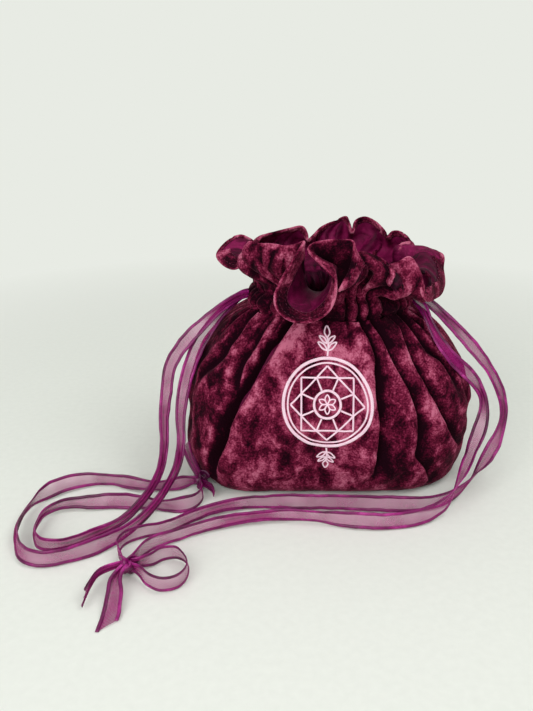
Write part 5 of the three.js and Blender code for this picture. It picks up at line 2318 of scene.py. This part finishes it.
@dataclass
class Studio:
    """The pale floor and backdrop, the soft lights and the camera. The lens is in millimetres."""

    finishes: Finishes
    eye: Row = (-0.0389, -0.4216, 0.2319)
    aim: Row = (0.0, 0.0, 0.07)
    tilt: float = 69.0
    lens: float = 35.7
    sensor: float = 36.0
    nearest: float = 0.01
    lamps: tuple[Lamp, ...] = (
        Lamp("window_light", (0.65, -0.35, 1.2), 0.8, 6.0),
        Lamp("fill_light", (-0.5, -1.1, 0.7), 1.2, 14.0),
        Lamp("top_light", (-0.1, 0.3, 1.5), 1.0, 2.5),
    )
    room_tint: str = "#F2F4F0"
    room_light: float = 0.4
    half_width: float = 2.5
    front: float = -2.0
    back: float = 1.4
    bend: float = 0.7
    top: float = 2.6

    def make_camera(self) -> None:
        """Makes the camera and looks through it."""
        data = bpy.data.cameras.new("camera")
        data.lens = self.lens
        data.sensor_width = self.sensor
        data.sensor_fit = "AUTO"
        data.clip_start = self.nearest
        camera = bpy.data.objects.new("camera", data)
        camera.location = self.eye
        camera.rotation_euler = (math.radians(self.tilt), 0.0, 0.0)
        bpy.context.scene.collection.objects.link(camera)
        bpy.context.scene.camera = camera

    def make_paper(self) -> None:
        """Makes the floor that curves up into the backdrop."""
        flat = [(self.front, 0.0), (self.back * 0.5, 0.0)]
        turns = np.radians(np.linspace(0, 90, 14))
        curve = [(self.back + self.bend * math.sin(turn), self.bend * (1 - math.cos(turn))) for turn in turns]
        profile = np.array([*flat, *curve, (self.back + self.bend, self.top)])
        sides = np.linspace(-self.half_width, self.half_width, 9)
        places = np.stack([np.array([[x, y, z] for x in sides]) for y, z in profile])
        paper = make_mesh("studio_floor", places, grid_faces(*places.shape[:2], False))
        paper.data.materials.append(self.finishes.paper)

    def make_lamp(self, lamp: Lamp) -> None:
        """Hangs one lamp and aims it at the bag.

        Args:
            lamp: The lamp.
        """
        data = bpy.data.lights.new(lamp.name, "AREA")
        data.shape = "SQUARE"
        data.size = lamp.size
        data.energy = lamp.power
        piece = bpy.data.objects.new(lamp.name, data)
        piece.location = lamp.place
        aim = Vector(self.aim) - Vector(lamp.place)
        piece.rotation_euler = aim.to_track_quat("-Z", "Y").to_euler()
        bpy.context.scene.collection.objects.link(piece)

    def light_room(self) -> None:
        """Gives the room its even light."""
        world = bpy.data.worlds.new("room")
        world.use_nodes = True
        background = world.node_tree.nodes["Background"]
        background.inputs["Color"].default_value = colour(self.room_tint)
        background.inputs["Strength"].default_value = self.room_light
        bpy.context.scene.world = world

    def build(self) -> None:
        """Builds the studio round the camera."""
        self.make_paper()
        for lamp in self.lamps:
            self.make_lamp(lamp)
        self.light_room()
        bpy.context.scene.view_settings.view_transform = "Standard"


def main() -> None:
    """Builds the scene."""
    logging.basicConfig(level=logging.INFO, format="%(name)s %(message)s")
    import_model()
    finishes = Finishes()
    studio = Studio(finishes)
    studio.make_camera()
    for drawstring in (left_drawstring(finishes), right_drawstring(finishes)):
        drawstring.build()
    body = Body(finishes)
    panels = body.build()
    channels = Channels(finishes, body)
    channels.build()
    Frill(finishes, channels).build()
    Embroidery(finishes, body, panels[Half.FRONT]).build()
    studio.build()


if __name__ == "__main__":
    main()
